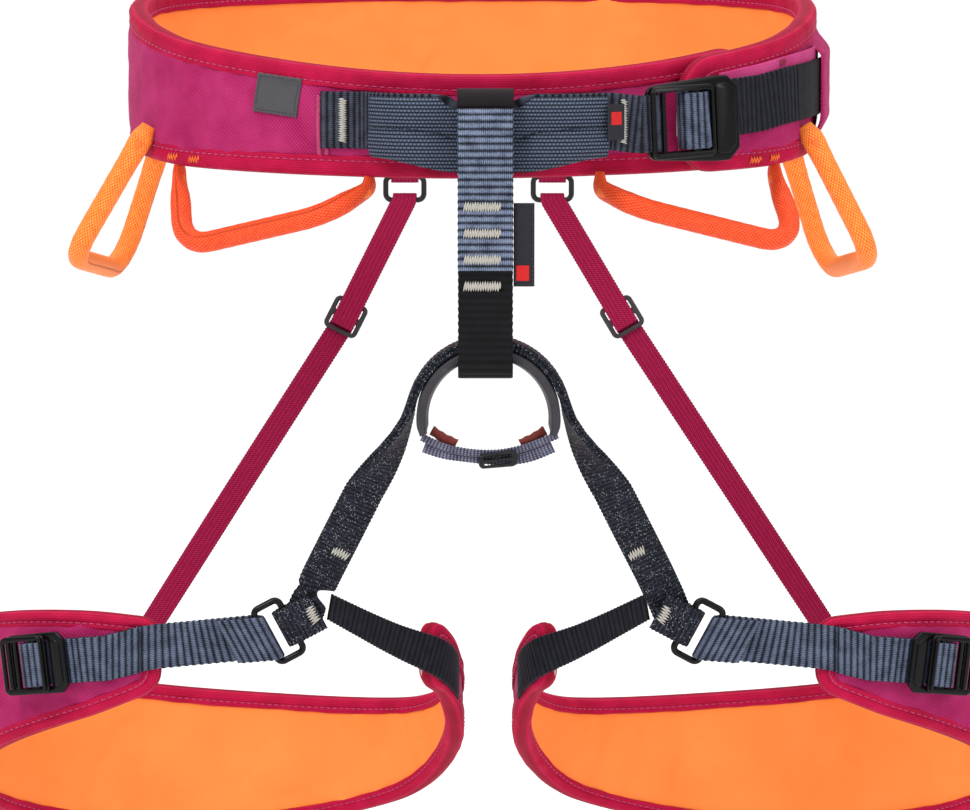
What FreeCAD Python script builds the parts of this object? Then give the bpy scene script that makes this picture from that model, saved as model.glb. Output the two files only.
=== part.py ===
import FreeCAD, Part
import math
import os

# Climbing harness with a padded waist belt, two padded leg loops, a belay loop,
# a leg bridge with a ring, four gear loops and two elastic risers.
# Frame, in millimetres: the origin is the centre of the waist opening, +X is the
# wearer's left, +Y the wearer's back and +Z up. "right" and "left" are the wearer's.

Vector = FreeCAD.Vector
X_AXIS = Vector(1, 0, 0)
Y_AXIS = Vector(0, 1, 0)
Z_AXIS = Vector(0, 0, 1)
RIGHT = -1
LEFT = 1
SIDES = {"right": RIGHT, "left": LEFT}

# ---------------------------------------------------------------- driving sizes
GAP = 0.3                       # air left between neighbouring pieces

# Layers of every pad, as offsets outwards from the pad's middle surface.
LINING = (-3.75, -2.95)
FOAM = (-2.65, 1.45)
LOAD_WEBBING = (1.75, 2.8)
SHELL = (3.1, 3.9)
BINDING_HALF = 4.7              # outside of the folded edge tape
BINDING_WALL = 0.6
RIM_INSET = 1.0                 # layers stop this far inside the pad's edge

# Waist belt: a squarish oval in plan that overlaps itself at the front left.
WAIST_HALF_X = {RIGHT: 158.0, LEFT: 147.0}
WAIST_HALF_Y = 110.0
WAIST_SQUARENESS = 2.3
WAIST_TOP = [(0, 5.5), (30, 8.2), (60, 18.0), (90, 34.5), (130, 40.5), (180, 41.5)]
WAIST_BOTTOM = [(0, -39.5), (60, -36.7), (90, -31.2), (130, -35.0), (180, -40.0)]
TONGUE_ANGLE = 60.0             # inner end of the belt, under the overlap
TIP_ANGLE = -318.0              # outer end of the belt, over the tongue
TONGUE_DEPTH = 11.0             # how far the tongue lies inside the outer end
WAIST_END_RADIUS = 15.0
WAIST_LIP = 9.0
LOAD_BAND_HEIGHT = 12.0
LOAD_BAND_RISE = 11.0

# Tie-in point: webbing that bulges forward inside a canvas sleeve.
TIE_WIDTH = 25.0
TIE_THICK = 2.0
TIE_Z = -14.1
TIE_FRONT_Y = -136.0
TIE_DIP = 4.6                   # the belay loop presses the webbing down
TIE_DIP_HALF = 14.0
SLEEVE_X = (-47.7, 52.0)
SLEEVE_Z = (-35.4, -3.0)
SLEEVE_HALF = 4.5
BELT_TO_TIE = 6.1               # offset of webbing that lies on the belt

# Buckles: a flat base with a window, and a bar that slides on its side rails.
STRAP_THICK = 1.6
WAIST_STRAP_WIDTH = 25.0
WAIST_BUCKLE = {"length": 45.0, "width": 33.0, "wide_end": 37.5, "narrow": 5.0, "wide": 12.5}
WAIST_BUCKLE_ANGLE = 42.5
WAIST_BUCKLE_Z = -14.5
WAIST_BUCKLE_TILT = 3.0
LEG_STRAP_WIDTH = 20.0
LEG_BUCKLE = {"length": 32.0, "width": 27.5, "wide_end": 27.5, "narrow": 4.0, "wide": 8.0}
LEG_BUCKLE_ANGLE = 37.0
BASE_THICK = 2.4
SLIDER_THICK = 2.2
SLIDER_BAR = 4.5
SLIDER_TRAVEL = 3.0
BASE_OFFSET = 9.4               # underside of a buckle above the pad's middle
STRAP_RISE = 0.22                # slope of the waist strap beyond its buckle

# Belay loop: a sewn loop that hangs round the tie-in sleeve.
BELAY_X = 0.2
BELAY_WIDTH = 23.5
BELAY_HALF = 15.2               # half depth, outside
BELAY_WALL = 4.2
BELAY_THICK_WALL = 5.8          # below the place where a layer ends
BELAY_LAYER_END_Z = -77.0
BELAY_TOP = -1.1
BELAY_BOTTOM = -124.6
BELAY_FLOOR = 4.2                # bottom wall, where the ring's protector lies in the loop

# Leg bridge: webbing over a ring, with two arms down to the leg loops.
MID_X = 1.5                     # middle plane of everything below the belt
RING_Z = -142.4
RING_BAND = 17.0
PROTECTOR_RADII = (25.9, 31.3)
WEBBING_RADIUS = 33.8
BRIDGE_THICK = 4.2
TAB_THICK = 2.2
ARM_LEAVES_AT = 25.0            # degrees above the ring's middle height
BAR_OUT = 87.5                  # rectangular ring's inner bar, from the middle plane
BAR_Y = -103.0
BAR_Z = -237.9
BAR_TILT = 28.0                 # slope of the leg strap at the rectangular ring
TAB_FOLD = 4.5
KEEPER_BUCKLE = (20.0, 11.0, 3.2)

# Leg loops: padded ovals, open at the front inside.
LEG_OUT = 128.5
LEG_Y = -5.0
LEG_HALF_X = 113.0
LEG_HALF_Y = 88.0
LEG_TOP = [(0, -238), (27, -235), (55, -239.6), (90, -253), (135, -283),
           (180, -297.8), (230, -296.5), (265, -278), (298, -245.3)]
LEG_BOTTOM = [(0, -266), (27, -282.6), (55, -301.5), (90, -330), (135, -357),
              (180, -365.6), (230, -345), (265, -310), (298, -276)]
LEG_START = 9.0
LEG_STOP = 298.0
LEG_END_RADIUS = 8.0
LEG_LIP = 6.0
RECT_RING = {"length": 29.0, "across": 12.6, "wire": 3.0}

# Gear loops: a cord core in a braided sheath.
GEAR_RADIUS = 5.0
GEAR_BORE = 3.3
GEAR_CORE = 3.0
GEAR_DROP = GEAR_RADIUS + 0.6   # pivot below the belt's edge

# Risers: elastic straps from the belt's back to the leg loops.
RISER_RING_X = {RIGHT: -38.7, LEFT: 32.5}
RISER_Y = 114.0
RISER_PIVOT_Z = -52.0
RISER_RING = {"length": 21.0, "height": 14.0, "wire": 2.6}
RISER_WIDTH = 11.5
RISER_THICK = 1.0
RISER_SLIDER_OUT = 66.5
RISER_SLIDER = Vector(0, 102.0, -119.0)
RISER_ANCHOR_ANGLE = 153.0
RISER_ANCHOR_BELOW_RIM = 7.0


# ---------------------------------------------------------------- small helpers
def smoothstep(t):
    t = min(1.0, max(0.0, t))
    return t * t * (3 - 2 * t)


def mix(a, b, t):
    return a * (1 - t) + b * t


def eased(table, x):
    """Smooth curve through (x, value) pairs, level at both ends."""
    xs = [p[0] for p in table]
    ys = [p[1] for p in table]
    x = min(xs[-1], max(xs[0], x))
    i = max(k for k in range(len(xs) - 1) if xs[k] <= x)
    slopes = [0.0] + [(ys[k + 1] - ys[k - 1]) / (xs[k + 1] - xs[k - 1])
                      for k in range(1, len(xs) - 1)] + [0.0]
    span = xs[i + 1] - xs[i]
    t = (x - xs[i]) / span
    return (ys[i] * (1 + 2 * t) * (1 - t) ** 2 + ys[i + 1] * t * t * (3 - 2 * t)
            + slopes[i] * span * t * (1 - t) ** 2 - slopes[i + 1] * span * t * t * (1 - t))


def frange(start, stop, count):
    return [start + (stop - start) * k / (count - 1) for k in range(count)]


def loft(sections, ruled=False):
    """Solid through closed polygons with matching corners."""
    wires = [Part.makePolygon(list(s) + [s[0]]) for s in sections]
    return Part.makeLoft(wires, True, ruled)


def unit(vector):
    return vector * (1.0 / vector.Length)


def walk(corners, step=18.0):
    """Points along a polyline (u, v, radius) with each corner rounded by an arc."""
    points = [(corners[0][0], corners[0][1])]
    for before, corner, after in zip(corners, corners[1:], corners[2:]):
        c = Vector(corner[0], corner[1], 0)
        a = unit(Vector(before[0], before[1], 0) - c)
        b = unit(Vector(after[0], after[1], 0) - c)
        half = a.getAngle(b) / 2
        reach = corner[2] / math.tan(half)
        centre = c + unit(a + b) * (corner[2] / math.sin(half))
        start = c + a * reach - centre
        stop = c + b * reach - centre
        turn = math.pi - 2 * half
        count = max(2, int(math.degrees(turn) / step) + 2)
        for t in frange(0.0, 1.0, count):
            spoke = (start * math.sin((1 - t) * turn) + stop * math.sin(t * turn)) * (1 / math.sin(turn))
            points.append((centre.x + spoke.x, centre.y + spoke.y))
    points.append((corners[-1][0], corners[-1][1]))
    return points


def ribbon(stations):
    """Strap through (centre, width hint, width, thickness) stations."""
    centres = [s[0] for s in stations]
    sections = []
    for k, (centre, hint, width, thick) in enumerate(stations):
        ahead = centres[min(k + 1, len(centres) - 1)]
        behind = centres[max(k - 1, 0)]
        along = unit(ahead - behind)
        across = unit(hint - along * hint.dot(along))
        out = along.cross(across)
        w = across * (width / 2)
        t = out * (thick / 2)
        sections.append([centre - w - t, centre + w - t, centre + w + t, centre - w + t])
    return loft(sections, ruled=True)


def outline(corners, place):
    """Closed wire through (u, v, radius) corners, drawn where place(u, v) says."""
    edges = []
    joins = []
    count = len(corners)
    for k, (u, v, radius) in enumerate(corners):
        c = Vector(u, v, 0)
        if radius <= 0:
            joins.append((c, c, None))
            continue
        before = corners[k - 1]
        after = corners[(k + 1) % count]
        a = unit(Vector(before[0], before[1], 0) - c)
        b = unit(Vector(after[0], after[1], 0) - c)
        half = a.getAngle(b) / 2
        reach = radius / math.tan(half)
        middle = c + unit(a + b) * (radius / math.sin(half) - radius)
        joins.append((c + a * reach, c + b * reach, middle))
    for k in range(count):
        start, stop, middle = joins[k]
        if middle is not None:
            edges.append(Part.Arc(place(start.x, start.y), place(middle.x, middle.y),
                                  place(stop.x, stop.y)).toShape())
        following = joins[(k + 1) % count][0]
        if (following - stop).Length > 1e-6:
            edges.append(Part.LineSegment(place(stop.x, stop.y),
                                          place(following.x, following.y)).toShape())
    return Part.Wire(Part.__sortEdges__(edges))


def plate(outer, holes, place, depth):
    """Flat piece with holes, drawn by place(u, v) and thickened along depth."""
    solid = Part.Face(outline(outer, place)).extrude(depth)
    for hole in holes:
        cutter = Part.Face(outline(hole, place)).extrude(depth * 3)
        cutter.translate(depth * -1)
        solid = solid.cut(cutter)
    return solid


def rectangle(u0, u1, v0, v1, radius=0.0):
    return [(u0, v0, radius), (u1, v0, radius), (u1, v1, radius), (u0, v1, radius)]


class Frame:
    """Local axes on a surface: s along the strap, w across it, h outwards."""

    def __init__(self, origin, along, up):
        self.origin = origin
        self.s = unit(along)
        self.w = unit(up - self.s * up.dot(self.s))
        self.h = self.s.cross(self.w)

    def at(self, s, w=0.0, h=0.0):
        return self.origin + self.s * s + self.w * w + self.h * h

    def place(self, h):
        return lambda s, w: self.at(s, w, h)


def group(solids):
    return Part.makeCompound(solids)


# ---------------------------------------------------------------- waist belt
def waist_plan(angle):
    """Point and outward normal of the belt's middle surface in plan."""
    a = math.radians(angle)
    half_x = WAIST_HALF_X[LEFT if math.sin(a) > 0 else RIGHT]
    n = WAIST_SQUARENESS
    reach = (abs(math.sin(a) / half_x) ** n + abs(math.cos(a) / WAIST_HALF_Y) ** n) ** (-1 / n)
    x = reach * math.sin(a)
    y = -reach * math.cos(a)
    normal = Vector(math.copysign(abs(x) ** (n - 1) / half_x ** n, x),
                    math.copysign(abs(y) ** (n - 1) / WAIST_HALF_Y ** n, y), 0)
    return Vector(x, y, 0), unit(normal)


def on_waist(angle, offset, z):
    point, normal = waist_plan(angle)
    return point + normal * offset + Z_AXIS * z


def from_front(angle):
    return abs((angle + 180.0) % 360.0 - 180.0)


def waist_top(angle):
    return eased(WAIST_TOP, from_front(angle))


def waist_bottom(angle):
    return eased(WAIST_BOTTOM, from_front(angle))


def tongue_shift(angle):
    return -TONGUE_DEPTH * smoothstep((angle + 8.0) / 38.0)


def end_round(angle, towards, radius, mm_per_degree):
    """Stations (angle, inset) that round the corners of a pad's end."""
    turns = [math.radians(t) for t in (0, 18, 36, 54, 72, 90)]
    return [(angle + towards * radius * (1 - math.cos(t)) / mm_per_degree,
             radius * (1 - math.sin(t))) for t in turns]


def pad_stations(start, stop, radius, mm_per_degree, step):
    """Stations along a pad from start to stop, with both ends rounded."""
    towards = math.copysign(1.0, stop - start)
    head = end_round(start, towards, radius, mm_per_degree)
    tail = end_round(stop, -towards, radius, mm_per_degree)[::-1]
    span = tail[0][0] - head[-1][0]
    count = int(abs(span) / step) + 1
    middle = [(head[-1][0] + span * k / count, 0.0) for k in range(1, count)]
    return head + middle + tail


WAIST_STATIONS = pad_stations(TONGUE_ANGLE, TIP_ANGLE, WAIST_END_RADIUS, 2.25, 6.0)


def pad_layer(stations, corner, inner, outer, low, high):
    """Loft of a layer; corner(angle, offset, z) places a point on the pad."""
    sections = []
    for angle, inset in stations:
        z0 = low(angle) + inset
        z1 = high(angle) - inset
        sections.append([corner(angle, inner, z0), corner(angle, outer, z0),
                         corner(angle, outer, z1), corner(angle, inner, z1)])
    return loft(sections)


def pad_binding(stations, corner, rim, lip, upwards):
    """Folded edge tape: a channel over the pad's edge; upwards is +1 at the top edge."""
    wall = BINDING_WALL
    half = BINDING_HALF
    sections = []
    for angle, inset in stations:
        edge = rim(angle) - upwards * inset
        foot = edge - upwards * lip
        web = edge - upwards * (RIM_INSET - GAP)
        sections.append([corner(angle, -half, foot), corner(angle, -half, edge),
                         corner(angle, half, edge), corner(angle, half, foot),
                         corner(angle, half - wall, foot), corner(angle, half - wall, web),
                         corner(angle, wall - half, web), corner(angle, wall - half, foot)])
    return loft(sections)


def waist_corner(angle, offset, z):
    return on_waist(angle, offset + tongue_shift(angle), z)


def waist_pads():
    def low(angle):
        return waist_bottom(angle) + RIM_INSET

    def high(angle):
        return waist_top(angle) - RIM_INSET

    parts = {}
    for name, (inner, outer) in {"waist_outer_shell": SHELL, "waist_foam_core": FOAM,
                                 "waist_lining": LINING}.items():
        parts[name] = pad_layer(WAIST_STATIONS, waist_corner, inner, outer, low, high)
    parts["waist_upper_binding"] = pad_binding(WAIST_STATIONS, waist_corner, waist_top, WAIST_LIP, 1)
    parts["waist_lower_binding"] = pad_binding(WAIST_STATIONS, waist_corner, waist_bottom, WAIST_LIP, -1)

    band_stations = [(angle, 0.0) for angle in frange(-36.0, -304.0, 46)]
    for name, rise in (("load_webbing_upper", LOAD_BAND_RISE), ("load_webbing_lower", -LOAD_BAND_RISE)):
        def middle(angle, rise=rise):
            return (waist_top(angle) + waist_bottom(angle)) / 2 + rise
        parts[name] = pad_layer(band_stations, waist_corner, *LOAD_WEBBING,
                                lambda a: middle(a) - LOAD_BAND_HEIGHT / 2,
                                lambda a: middle(a) + LOAD_BAND_HEIGHT / 2)
    return parts


# ---------------------------------------------------------------- buckles
def waist_buckle_frame():
    point, normal = waist_plan(WAIST_BUCKLE_ANGLE)
    origin = point + normal * BASE_OFFSET + Z_AXIS * WAIST_BUCKLE_Z
    level = Z_AXIS.cross(normal)
    tilt = math.radians(WAIST_BUCKLE_TILT)
    along = level * math.cos(tilt) + Z_AXIS * math.sin(tilt)
    frame = Frame(origin, along, Z_AXIS)
    if frame.h.dot(normal) < 0:
        frame.h = frame.h * -1
    return frame


def buckle_sizes(kind, strap_width):
    """Edges of a buckle along s, with the wide plate at the +s end."""
    half = kind["length"] / 2
    window = (-half + kind["narrow"], half - kind["wide"])
    bar = (-1.5, -1.5 + SLIDER_BAR)
    rail = (strap_width / 2 + 0.7, kind["width"] / 2 - 0.9)
    return half, window, bar, rail


def buckle_base(frame, kind, strap_width):
    half, window, _, _ = buckle_sizes(kind, strap_width)
    side = kind["width"] / 2
    wide = kind["wide_end"] / 2
    opening = strap_width / 2 + 0.5
    chamfer = kind["wide"] / 2
    outer = [(-half, -side, 4.0), (half - chamfer, -wide, 2.0), (half, -wide + chamfer, 2.0),
             (half, wide - chamfer, 2.0), (half - chamfer, wide, 2.0), (-half, side, 4.0)]
    hole = rectangle(window[0], window[1], -opening, opening, 1.0)
    return plate(outer, [hole], frame.place(0.0), frame.h * BASE_THICK)


def buckle_slider(frame, kind, strap_width):
    half, window, bar, rail = buckle_sizes(kind, strap_width)
    start = -half + 3.2 + SLIDER_TRAVEL
    stop = window[1] - 1.5
    outer = rectangle(start, stop, -rail[1], rail[1], 1.0)
    holes = [rectangle(start - 1.0, bar[0], -rail[0], rail[0]),
             rectangle(bar[1], stop + 1.0, -rail[0], rail[0])]
    low = BASE_THICK + GAP
    return plate(outer, holes, frame.place(low), frame.h * SLIDER_THICK)


def fold_corners(kind, strap_width, run_out):
    """Strap path (s, h, radius) round the slider bar, leaving below the wide end."""
    _, window, bar, _ = buckle_sizes(kind, strap_width)
    under = -STRAP_THICK / 2 - 0.6
    load = under - STRAP_THICK - 0.4
    fold = bar[0] - SLIDER_TRAVEL - 0.4 - STRAP_THICK / 2
    top = BASE_THICK + GAP + SLIDER_THICK + GAP + STRAP_THICK / 2
    drop = (bar[1] + window[1]) / 2
    return [(run_out, load, 0), (fold, load, 2.6), (fold, top, 2.6), (drop, top, 2.0),
            (drop, under, 1.6), (run_out, under, 0)]


def fold_stations(frame, kind, strap_width, flip=1, slope=0.0):
    """Stations of the folded stretch, from the load run to the tail run.

    Beyond the slider bar the strap rises by slope."""
    path = walk(fold_corners(kind, strap_width, 24.0))
    clear = 5.0
    return [(frame.at(flip * s, slope * max(0.0, s - clear), h), frame.w, strap_width, STRAP_THICK)
            for s, h in path]


# ---------------------------------------------------------------- tie-in point
def tie_in_path(frame):
    """Plan points of the tie-in webbing from its left end to the buckle's narrow bar."""
    points = [on_waist(a, BELT_TO_TIE, 0) for a in (-34.5, -31.0, -27.5)]
    points += [Vector(-48.0, -122.5, 0), Vector(-40.5, -131.0, 0), Vector(-31.0, -135.2, 0),
               Vector(-20.0, TIE_FRONT_Y, 0), Vector(-TIE_DIP_HALF, TIE_FRONT_Y, 0),
               Vector(0.0, TIE_FRONT_Y, 0), Vector(TIE_DIP_HALF, TIE_FRONT_Y, 0),
               Vector(22.0, TIE_FRONT_Y, 0), Vector(34.0, -134.6, 0), Vector(45.0, -130.2, 0),
               Vector(55.0, -124.2, 0)]
    return points


def tie_dip(x):
    return TIE_DIP * (1 - smoothstep((abs(x - BELAY_X) - TIE_DIP_HALF) / 8.0))


def spline_points(points, count):
    """Evenly spaced points on a smooth curve through the given ones."""
    curve = Part.BSplineCurve()
    curve.interpolate(points)
    return curve.discretize(Number=count)


def tie_in_webbing(frame):
    middle = spline_points(tie_in_path(frame), 90)
    stations = [(Vector(p.x, p.y, TIE_Z - tie_dip(p.x)), Z_AXIS, TIE_WIDTH, TIE_THICK) for p in middle]
    bar_out = -WAIST_BUCKLE["length"] / 2
    bar_in = bar_out + WAIST_BUCKLE["narrow"]
    above = BASE_THICK + 0.4 + TIE_THICK / 2
    below = -0.4 - TIE_THICK / 2
    beyond = bar_in + 0.4 + TIE_THICK / 2
    path = walk([(bar_out - 4.0, above, 0), (beyond, above, 2.0), (beyond, below, 2.0),
                 (bar_out - 3.0, below, 0)])
    stations += [(frame.at(s, 0, h), frame.w, TIE_WIDTH, TIE_THICK) for s, h in path]
    return ribbon(stations)


def sleeve_stations(frame):
    points = spline_points(tie_in_path(frame), 90)
    return [p for p in points if SLEEVE_X[0] <= p.x <= SLEEVE_X[1]]


def tie_in_sleeve(frame):
    points = sleeve_stations(frame)
    slot = TIE_THICK / 2 + 3 * GAP
    floor = TIE_Z - TIE_DIP - TIE_WIDTH / 2 - 2 * GAP
    sections = []
    for k, p in enumerate(points):
        along = unit(points[min(k + 1, len(points) - 1)] - points[max(k - 1, 0)])
        out = along.cross(Z_AXIS)
        top = SLEEVE_Z[1] - 0.9 * tie_dip(p.x)
        profile = [(-SLEEVE_HALF, SLEEVE_Z[0]), (-SLEEVE_HALF, top), (-slot, top), (-slot, floor),
                   (slot, floor), (slot, top), (SLEEVE_HALF, top), (SLEEVE_HALF, SLEEVE_Z[0])]
        sections.append([p + out * a + Z_AXIS * z for a, z in profile])
    return loft(sections, ruled=True)


def small_patch(frame, length, width, thick):
    """Thin block centred on the frame's origin, standing on its h = 0 plane."""
    half = length / 2
    side = width / 2
    return plate(rectangle(-half, half, -side, side), [], frame.place(0.0), frame.h * thick)


def tie_in_frame(frame, x, lift):
    """Frame on the front of the tie-in webbing at a given x."""
    points = spline_points(tie_in_path(frame), 90)
    k = min(range(1, len(points) - 1), key=lambda i: abs(points[i].x - x))
    along = unit(points[k + 1] - points[k - 1])
    out = along.cross(Z_AXIS)
    origin = points[k] + out * lift + Z_AXIS * (TIE_Z - tie_dip(points[k].x))
    local = Frame(origin, along, Z_AXIS)
    local.h = out
    return local


def waist_frame(angle, offset, z):
    """Frame on the belt's outside, s towards the wearer's left at the front."""
    point, normal = waist_plan(angle)
    local = Frame(point + normal * offset + Z_AXIS * z, Z_AXIS.cross(normal), Z_AXIS)
    local.h = normal
    return local


def waist_strap(frame):
    folded = fold_stations(frame, WAIST_BUCKLE, WAIST_STRAP_WIDTH, slope=STRAP_RISE)
    rise = [(54, -8.8), (64, -5.2), (79, -2.1), (100, 1.0)]

    def run(angles, offset, flare=0.0):
        last = angles[-1]
        return [(on_waist(a, offset + flare * smoothstep((a - 86.0) / (last - 86.0)) if flare else offset,
                          eased(rise, a)), Z_AXIS, WAIST_STRAP_WIDTH, STRAP_THICK) for a in angles]

    load = run([76, 72, 68, 64, 60, 57], BASE_OFFSET - 3.4)
    tail = run([57, 60, 64, 68, 72, 76, 80, 84, 88, 92, 96, 100], BASE_OFFSET - 1.4, 3.0)
    return ribbon(load + folded + tail)


def strap_keeper():
    """Fabric band across the belt that holds the strap's tail."""
    wall = 0.9
    sections = []
    for angle in frange(77.0, 88.0, 7):
        strap_z = -1.8 + 0.15 * (angle - 80.0)
        base = BINDING_HALF + GAP
        crest = BASE_OFFSET - 1.4 + STRAP_THICK / 2 + GAP
        high = waist_top(angle) - 4.0
        low = waist_bottom(angle) + 2.0
        upper = strap_z + WAIST_STRAP_WIDTH / 2 + 1.5
        lower = strap_z - WAIST_STRAP_WIDTH / 2 - 1.5
        profile = [(base, high), (base + wall, high), (crest + wall, upper + 1), (crest + wall, lower - 1),
                   (base + wall, low), (base, low), (crest, lower), (crest, upper)]
        sections.append([on_waist(angle, a, z) for a, z in profile])
    return loft(sections, ruled=True)


def waist_details(frame):
    parts = {}
    parts["tie_in_webbing"] = tie_in_webbing(frame)
    parts["tie_in_sleeve"] = tie_in_sleeve(frame)
    parts["waist_strap"] = waist_strap(frame)
    parts["strap_keeper"] = strap_keeper()
    parts["waist_buckle_base"] = buckle_base(frame, WAIST_BUCKLE, WAIST_STRAP_WIDTH)
    parts["waist_buckle_slider"] = buckle_slider(frame, WAIST_BUCKLE, WAIST_STRAP_WIDTH)
    parts["waist_label_patch"] = small_patch(waist_frame(-46.5, BINDING_HALF + 0.2, -3.4), 21.0, 17.0, 0.7)
    lift = TIE_THICK / 2 + 0.1
    parts["sleeve_tag"] = small_patch(tie_in_frame(frame, 53.6, SLEEVE_HALF + GAP), 7.0, 15.0, 0.6)
    bars = [small_patch(tie_in_frame(frame, x, lift), 3.2, 20.0, 0.5) for x in (-62.0, 60.0)]
    parts["waist_bartacks"] = group(bars)
    marks = []
    for angle in (-60.5, -67.5, 60.5, 67.5):
        place = waist_frame(angle, BINDING_HALF + 0.15, waist_bottom(angle) + 4.5)
        marks.append(small_patch(place, 9.0, 5.0, 0.5))
    parts["gear_loop_bartacks"] = group(marks)
    return parts


# ---------------------------------------------------------------- gear loops
def arc_path(points, radii):
    """Wire of straight runs joined by tangent arcs."""
    edges = []
    here = points[0]
    for before, corner, after, radius in zip(points, points[1:], points[2:], radii):
        a = unit(before - corner)
        b = unit(after - corner)
        half = a.getAngle(b) / 2
        reach = radius / math.tan(half)
        middle = corner + unit(a + b) * (radius / math.sin(half) - radius)
        edges.append(Part.LineSegment(here, corner + a * reach).toShape())
        edges.append(Part.Arc(corner + a * reach, middle, corner + b * reach).toShape())
        here = corner + b * reach
    edges.append(Part.LineSegment(here, points[-1]).toShape())
    return Part.Wire(edges)


def tube(points, radii, radius):
    path = arc_path(points, radii)
    circle = Part.Wire([Part.makeCircle(radius, points[0], points[1] - points[0])])
    return path.makePipeShell([circle], True, True)


def gear_loop_points(side, place):
    """Points of a gear loop, first and last on its hinge line."""
    if place == "front":
        scale = WAIST_HALF_X[side] / WAIST_HALF_X[RIGHT] * side
        rear = on_waist(side * 65.0, 0, waist_bottom(65.0) - GEAR_DROP)
        front = on_waist(side * 25.5, 0, waist_bottom(25.5) - GEAR_DROP)
        low = Vector((134.0 if side == RIGHT else 150.0) * scale, -84.0, -72.0)
        bend = Vector(71.0 * scale, -115.0, -55.5 if side == RIGHT else -52.0)
        return [rear, low, bend, front], [15.0, 24.0]
    near = on_waist(side * (70.5 if side == RIGHT else 71.5), BINDING_HALF + 0.6 + GEAR_RADIUS, -25.5)
    far = on_waist(side * 103.0, 0, waist_bottom(103.0) - GEAR_DROP)
    out = WAIST_HALF_X[side] - WAIST_HALF_X[RIGHT]
    low = Vector(side * (186.0 + out), -46.0, -79.0)
    bend = Vector(side * (171.0 + out), 42.0, -92.0)
    return [near, low, bend, far], [17.0, 17.0]


def gear_loops():
    parts = {}
    for side_name, side in SIDES.items():
        for place in ("front", "rear"):
            points, radii = gear_loop_points(side, place)
            sheath = tube(points, radii, GEAR_RADIUS)
            for end in (points[0], points[-1]):
                sheath = sheath.fuse(Part.makeSphere(GEAR_RADIUS, end))
            sheath = sheath.cut(tube(points, radii, GEAR_BORE))
            first = points[0] + unit(points[1] - points[0]) * 0.5
            last = points[-1] + unit(points[-2] - points[-1]) * 0.5
            core = tube([first] + points[1:-1] + [last], radii, GEAR_CORE)
            parts[f"gear_loop_{place}_{side_name}_sheath"] = sheath
            parts[f"gear_loop_{place}_{side_name}_core"] = core
    return parts


# ---------------------------------------------------------------- belay loop
def yz_place(x):
    return lambda y, z: Vector(x, y, z)


def belay_parts():
    half = BELAY_HALF
    y = TIE_FRONT_Y
    outer = [(y - half, BELAY_TOP, half), (y + half, BELAY_TOP, half),
             (y + half, BELAY_BOTTOM, 8.0), (y - half, BELAY_BOTTOM, 8.0)]
    wide = half - BELAY_WALL
    narrow = half - BELAY_THICK_WALL
    top = BELAY_TOP - BELAY_WALL
    low = BELAY_BOTTOM + BELAY_FLOOR
    step = BELAY_LAYER_END_Z
    inner = [(y - wide, top, wide), (y + wide, top, wide), (y + wide, step, 0), (y + narrow, step - 4, 0),
             (y + narrow, low, 2.5), (y - narrow, low, 2.5), (y - narrow, step - 4, 0), (y - wide, step, 0)]
    start = yz_place(BELAY_X - BELAY_WIDTH / 2)
    loop = plate(outer, [inner], start, X_AXIS * BELAY_WIDTH)
    front = y - half - 0.55
    tacks = []
    for z in (-49.5, -60.9, -72.3, -83.7):
        place = (lambda level: lambda u, v: Vector(u, front, level + v))(z)
        tacks.append(plate(rectangle(-9.2, 6.6, -2.0, 2.0, 0.8), [], place, Y_AXIS * 0.5))
    edge = BELAY_X + BELAY_WIDTH / 2 + 0.35
    label = plate(rectangle(edge, edge + 9.0, -84.0, -48.0, 0.0), [],
                  lambda u, v: Vector(u, y - half + 2.0, v), Y_AXIS * 0.8)
    return {"belay_loop": loop, "belay_bartacks": group(tacks), "indicator_label": label}


# ---------------------------------------------------------------- leg bridge
def bar_frame(side):
    """Frame at the rectangular ring's inner bar: s down the leg strap, w along the bar."""
    tilt = math.radians(BAR_TILT)
    origin = Vector(MID_X + side * BAR_OUT, BAR_Y, BAR_Z)
    down_strap = Vector(side * math.cos(tilt), 0, -math.sin(tilt))
    frame = Frame(origin, down_strap, Z_AXIS)
    frame.h = Y_AXIS * -1
    return frame


def arm_stations(side):
    """One arm of the bridge, from the ring down to the folded tab's end."""
    leave = math.radians(ARM_LEAVES_AT)
    start = Vector(MID_X + side * WEBBING_RADIUS * math.cos(leave), TIE_FRONT_Y,
                   RING_Z + WEBBING_RADIUS * math.sin(leave))
    frame = bar_frame(side)
    elbow = Vector(MID_X + side * 77.0, -101.5, -222.0)
    approach = frame.at(-6.0, 0, -TAB_FOLD)
    straight = [mix(start, elbow, t) for t in (0.06, 0.14, 0.22, 0.3, 0.4, 0.52, 0.66, 0.8, 0.92)]
    stations = []
    for point in straight:
        t = (point - start).Length / (elbow - start).Length
        twist = math.radians(90.0 * smoothstep((t - 0.04) / 0.66))
        drift = -2.4 * math.sin(math.pi * min(1.0, t / 0.5)) * smoothstep(t / 0.12)
        sideways = Vector(side * math.cos(leave), 0, math.sin(leave))
        hint = Y_AXIS * -math.cos(twist) + sideways * math.sin(twist)
        stations.append((point + sideways * drift, hint, RING_BAND, BRIDGE_THICK))
    turning = mix(frame.w * side, Vector(side * math.cos(leave), 0, math.sin(leave)), 0.35)
    stations.append((mix(elbow, approach, 0.35), turning, RING_BAND, mix(TAB_THICK, BRIDGE_THICK, 0.5)))
    across = frame.w * side
    stations.append((approach, across, RING_BAND, TAB_THICK))
    for turn in frange(-90.0, 90.0, 9):
        a = math.radians(turn)
        stations.append((frame.at(TAB_FOLD * math.cos(a), 0, TAB_FOLD * math.sin(a)), across,
                         RING_BAND, TAB_THICK))
    stations.append((frame.at(-14.0, 0, TAB_FOLD), across, RING_BAND, TAB_THICK))
    return stations


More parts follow.
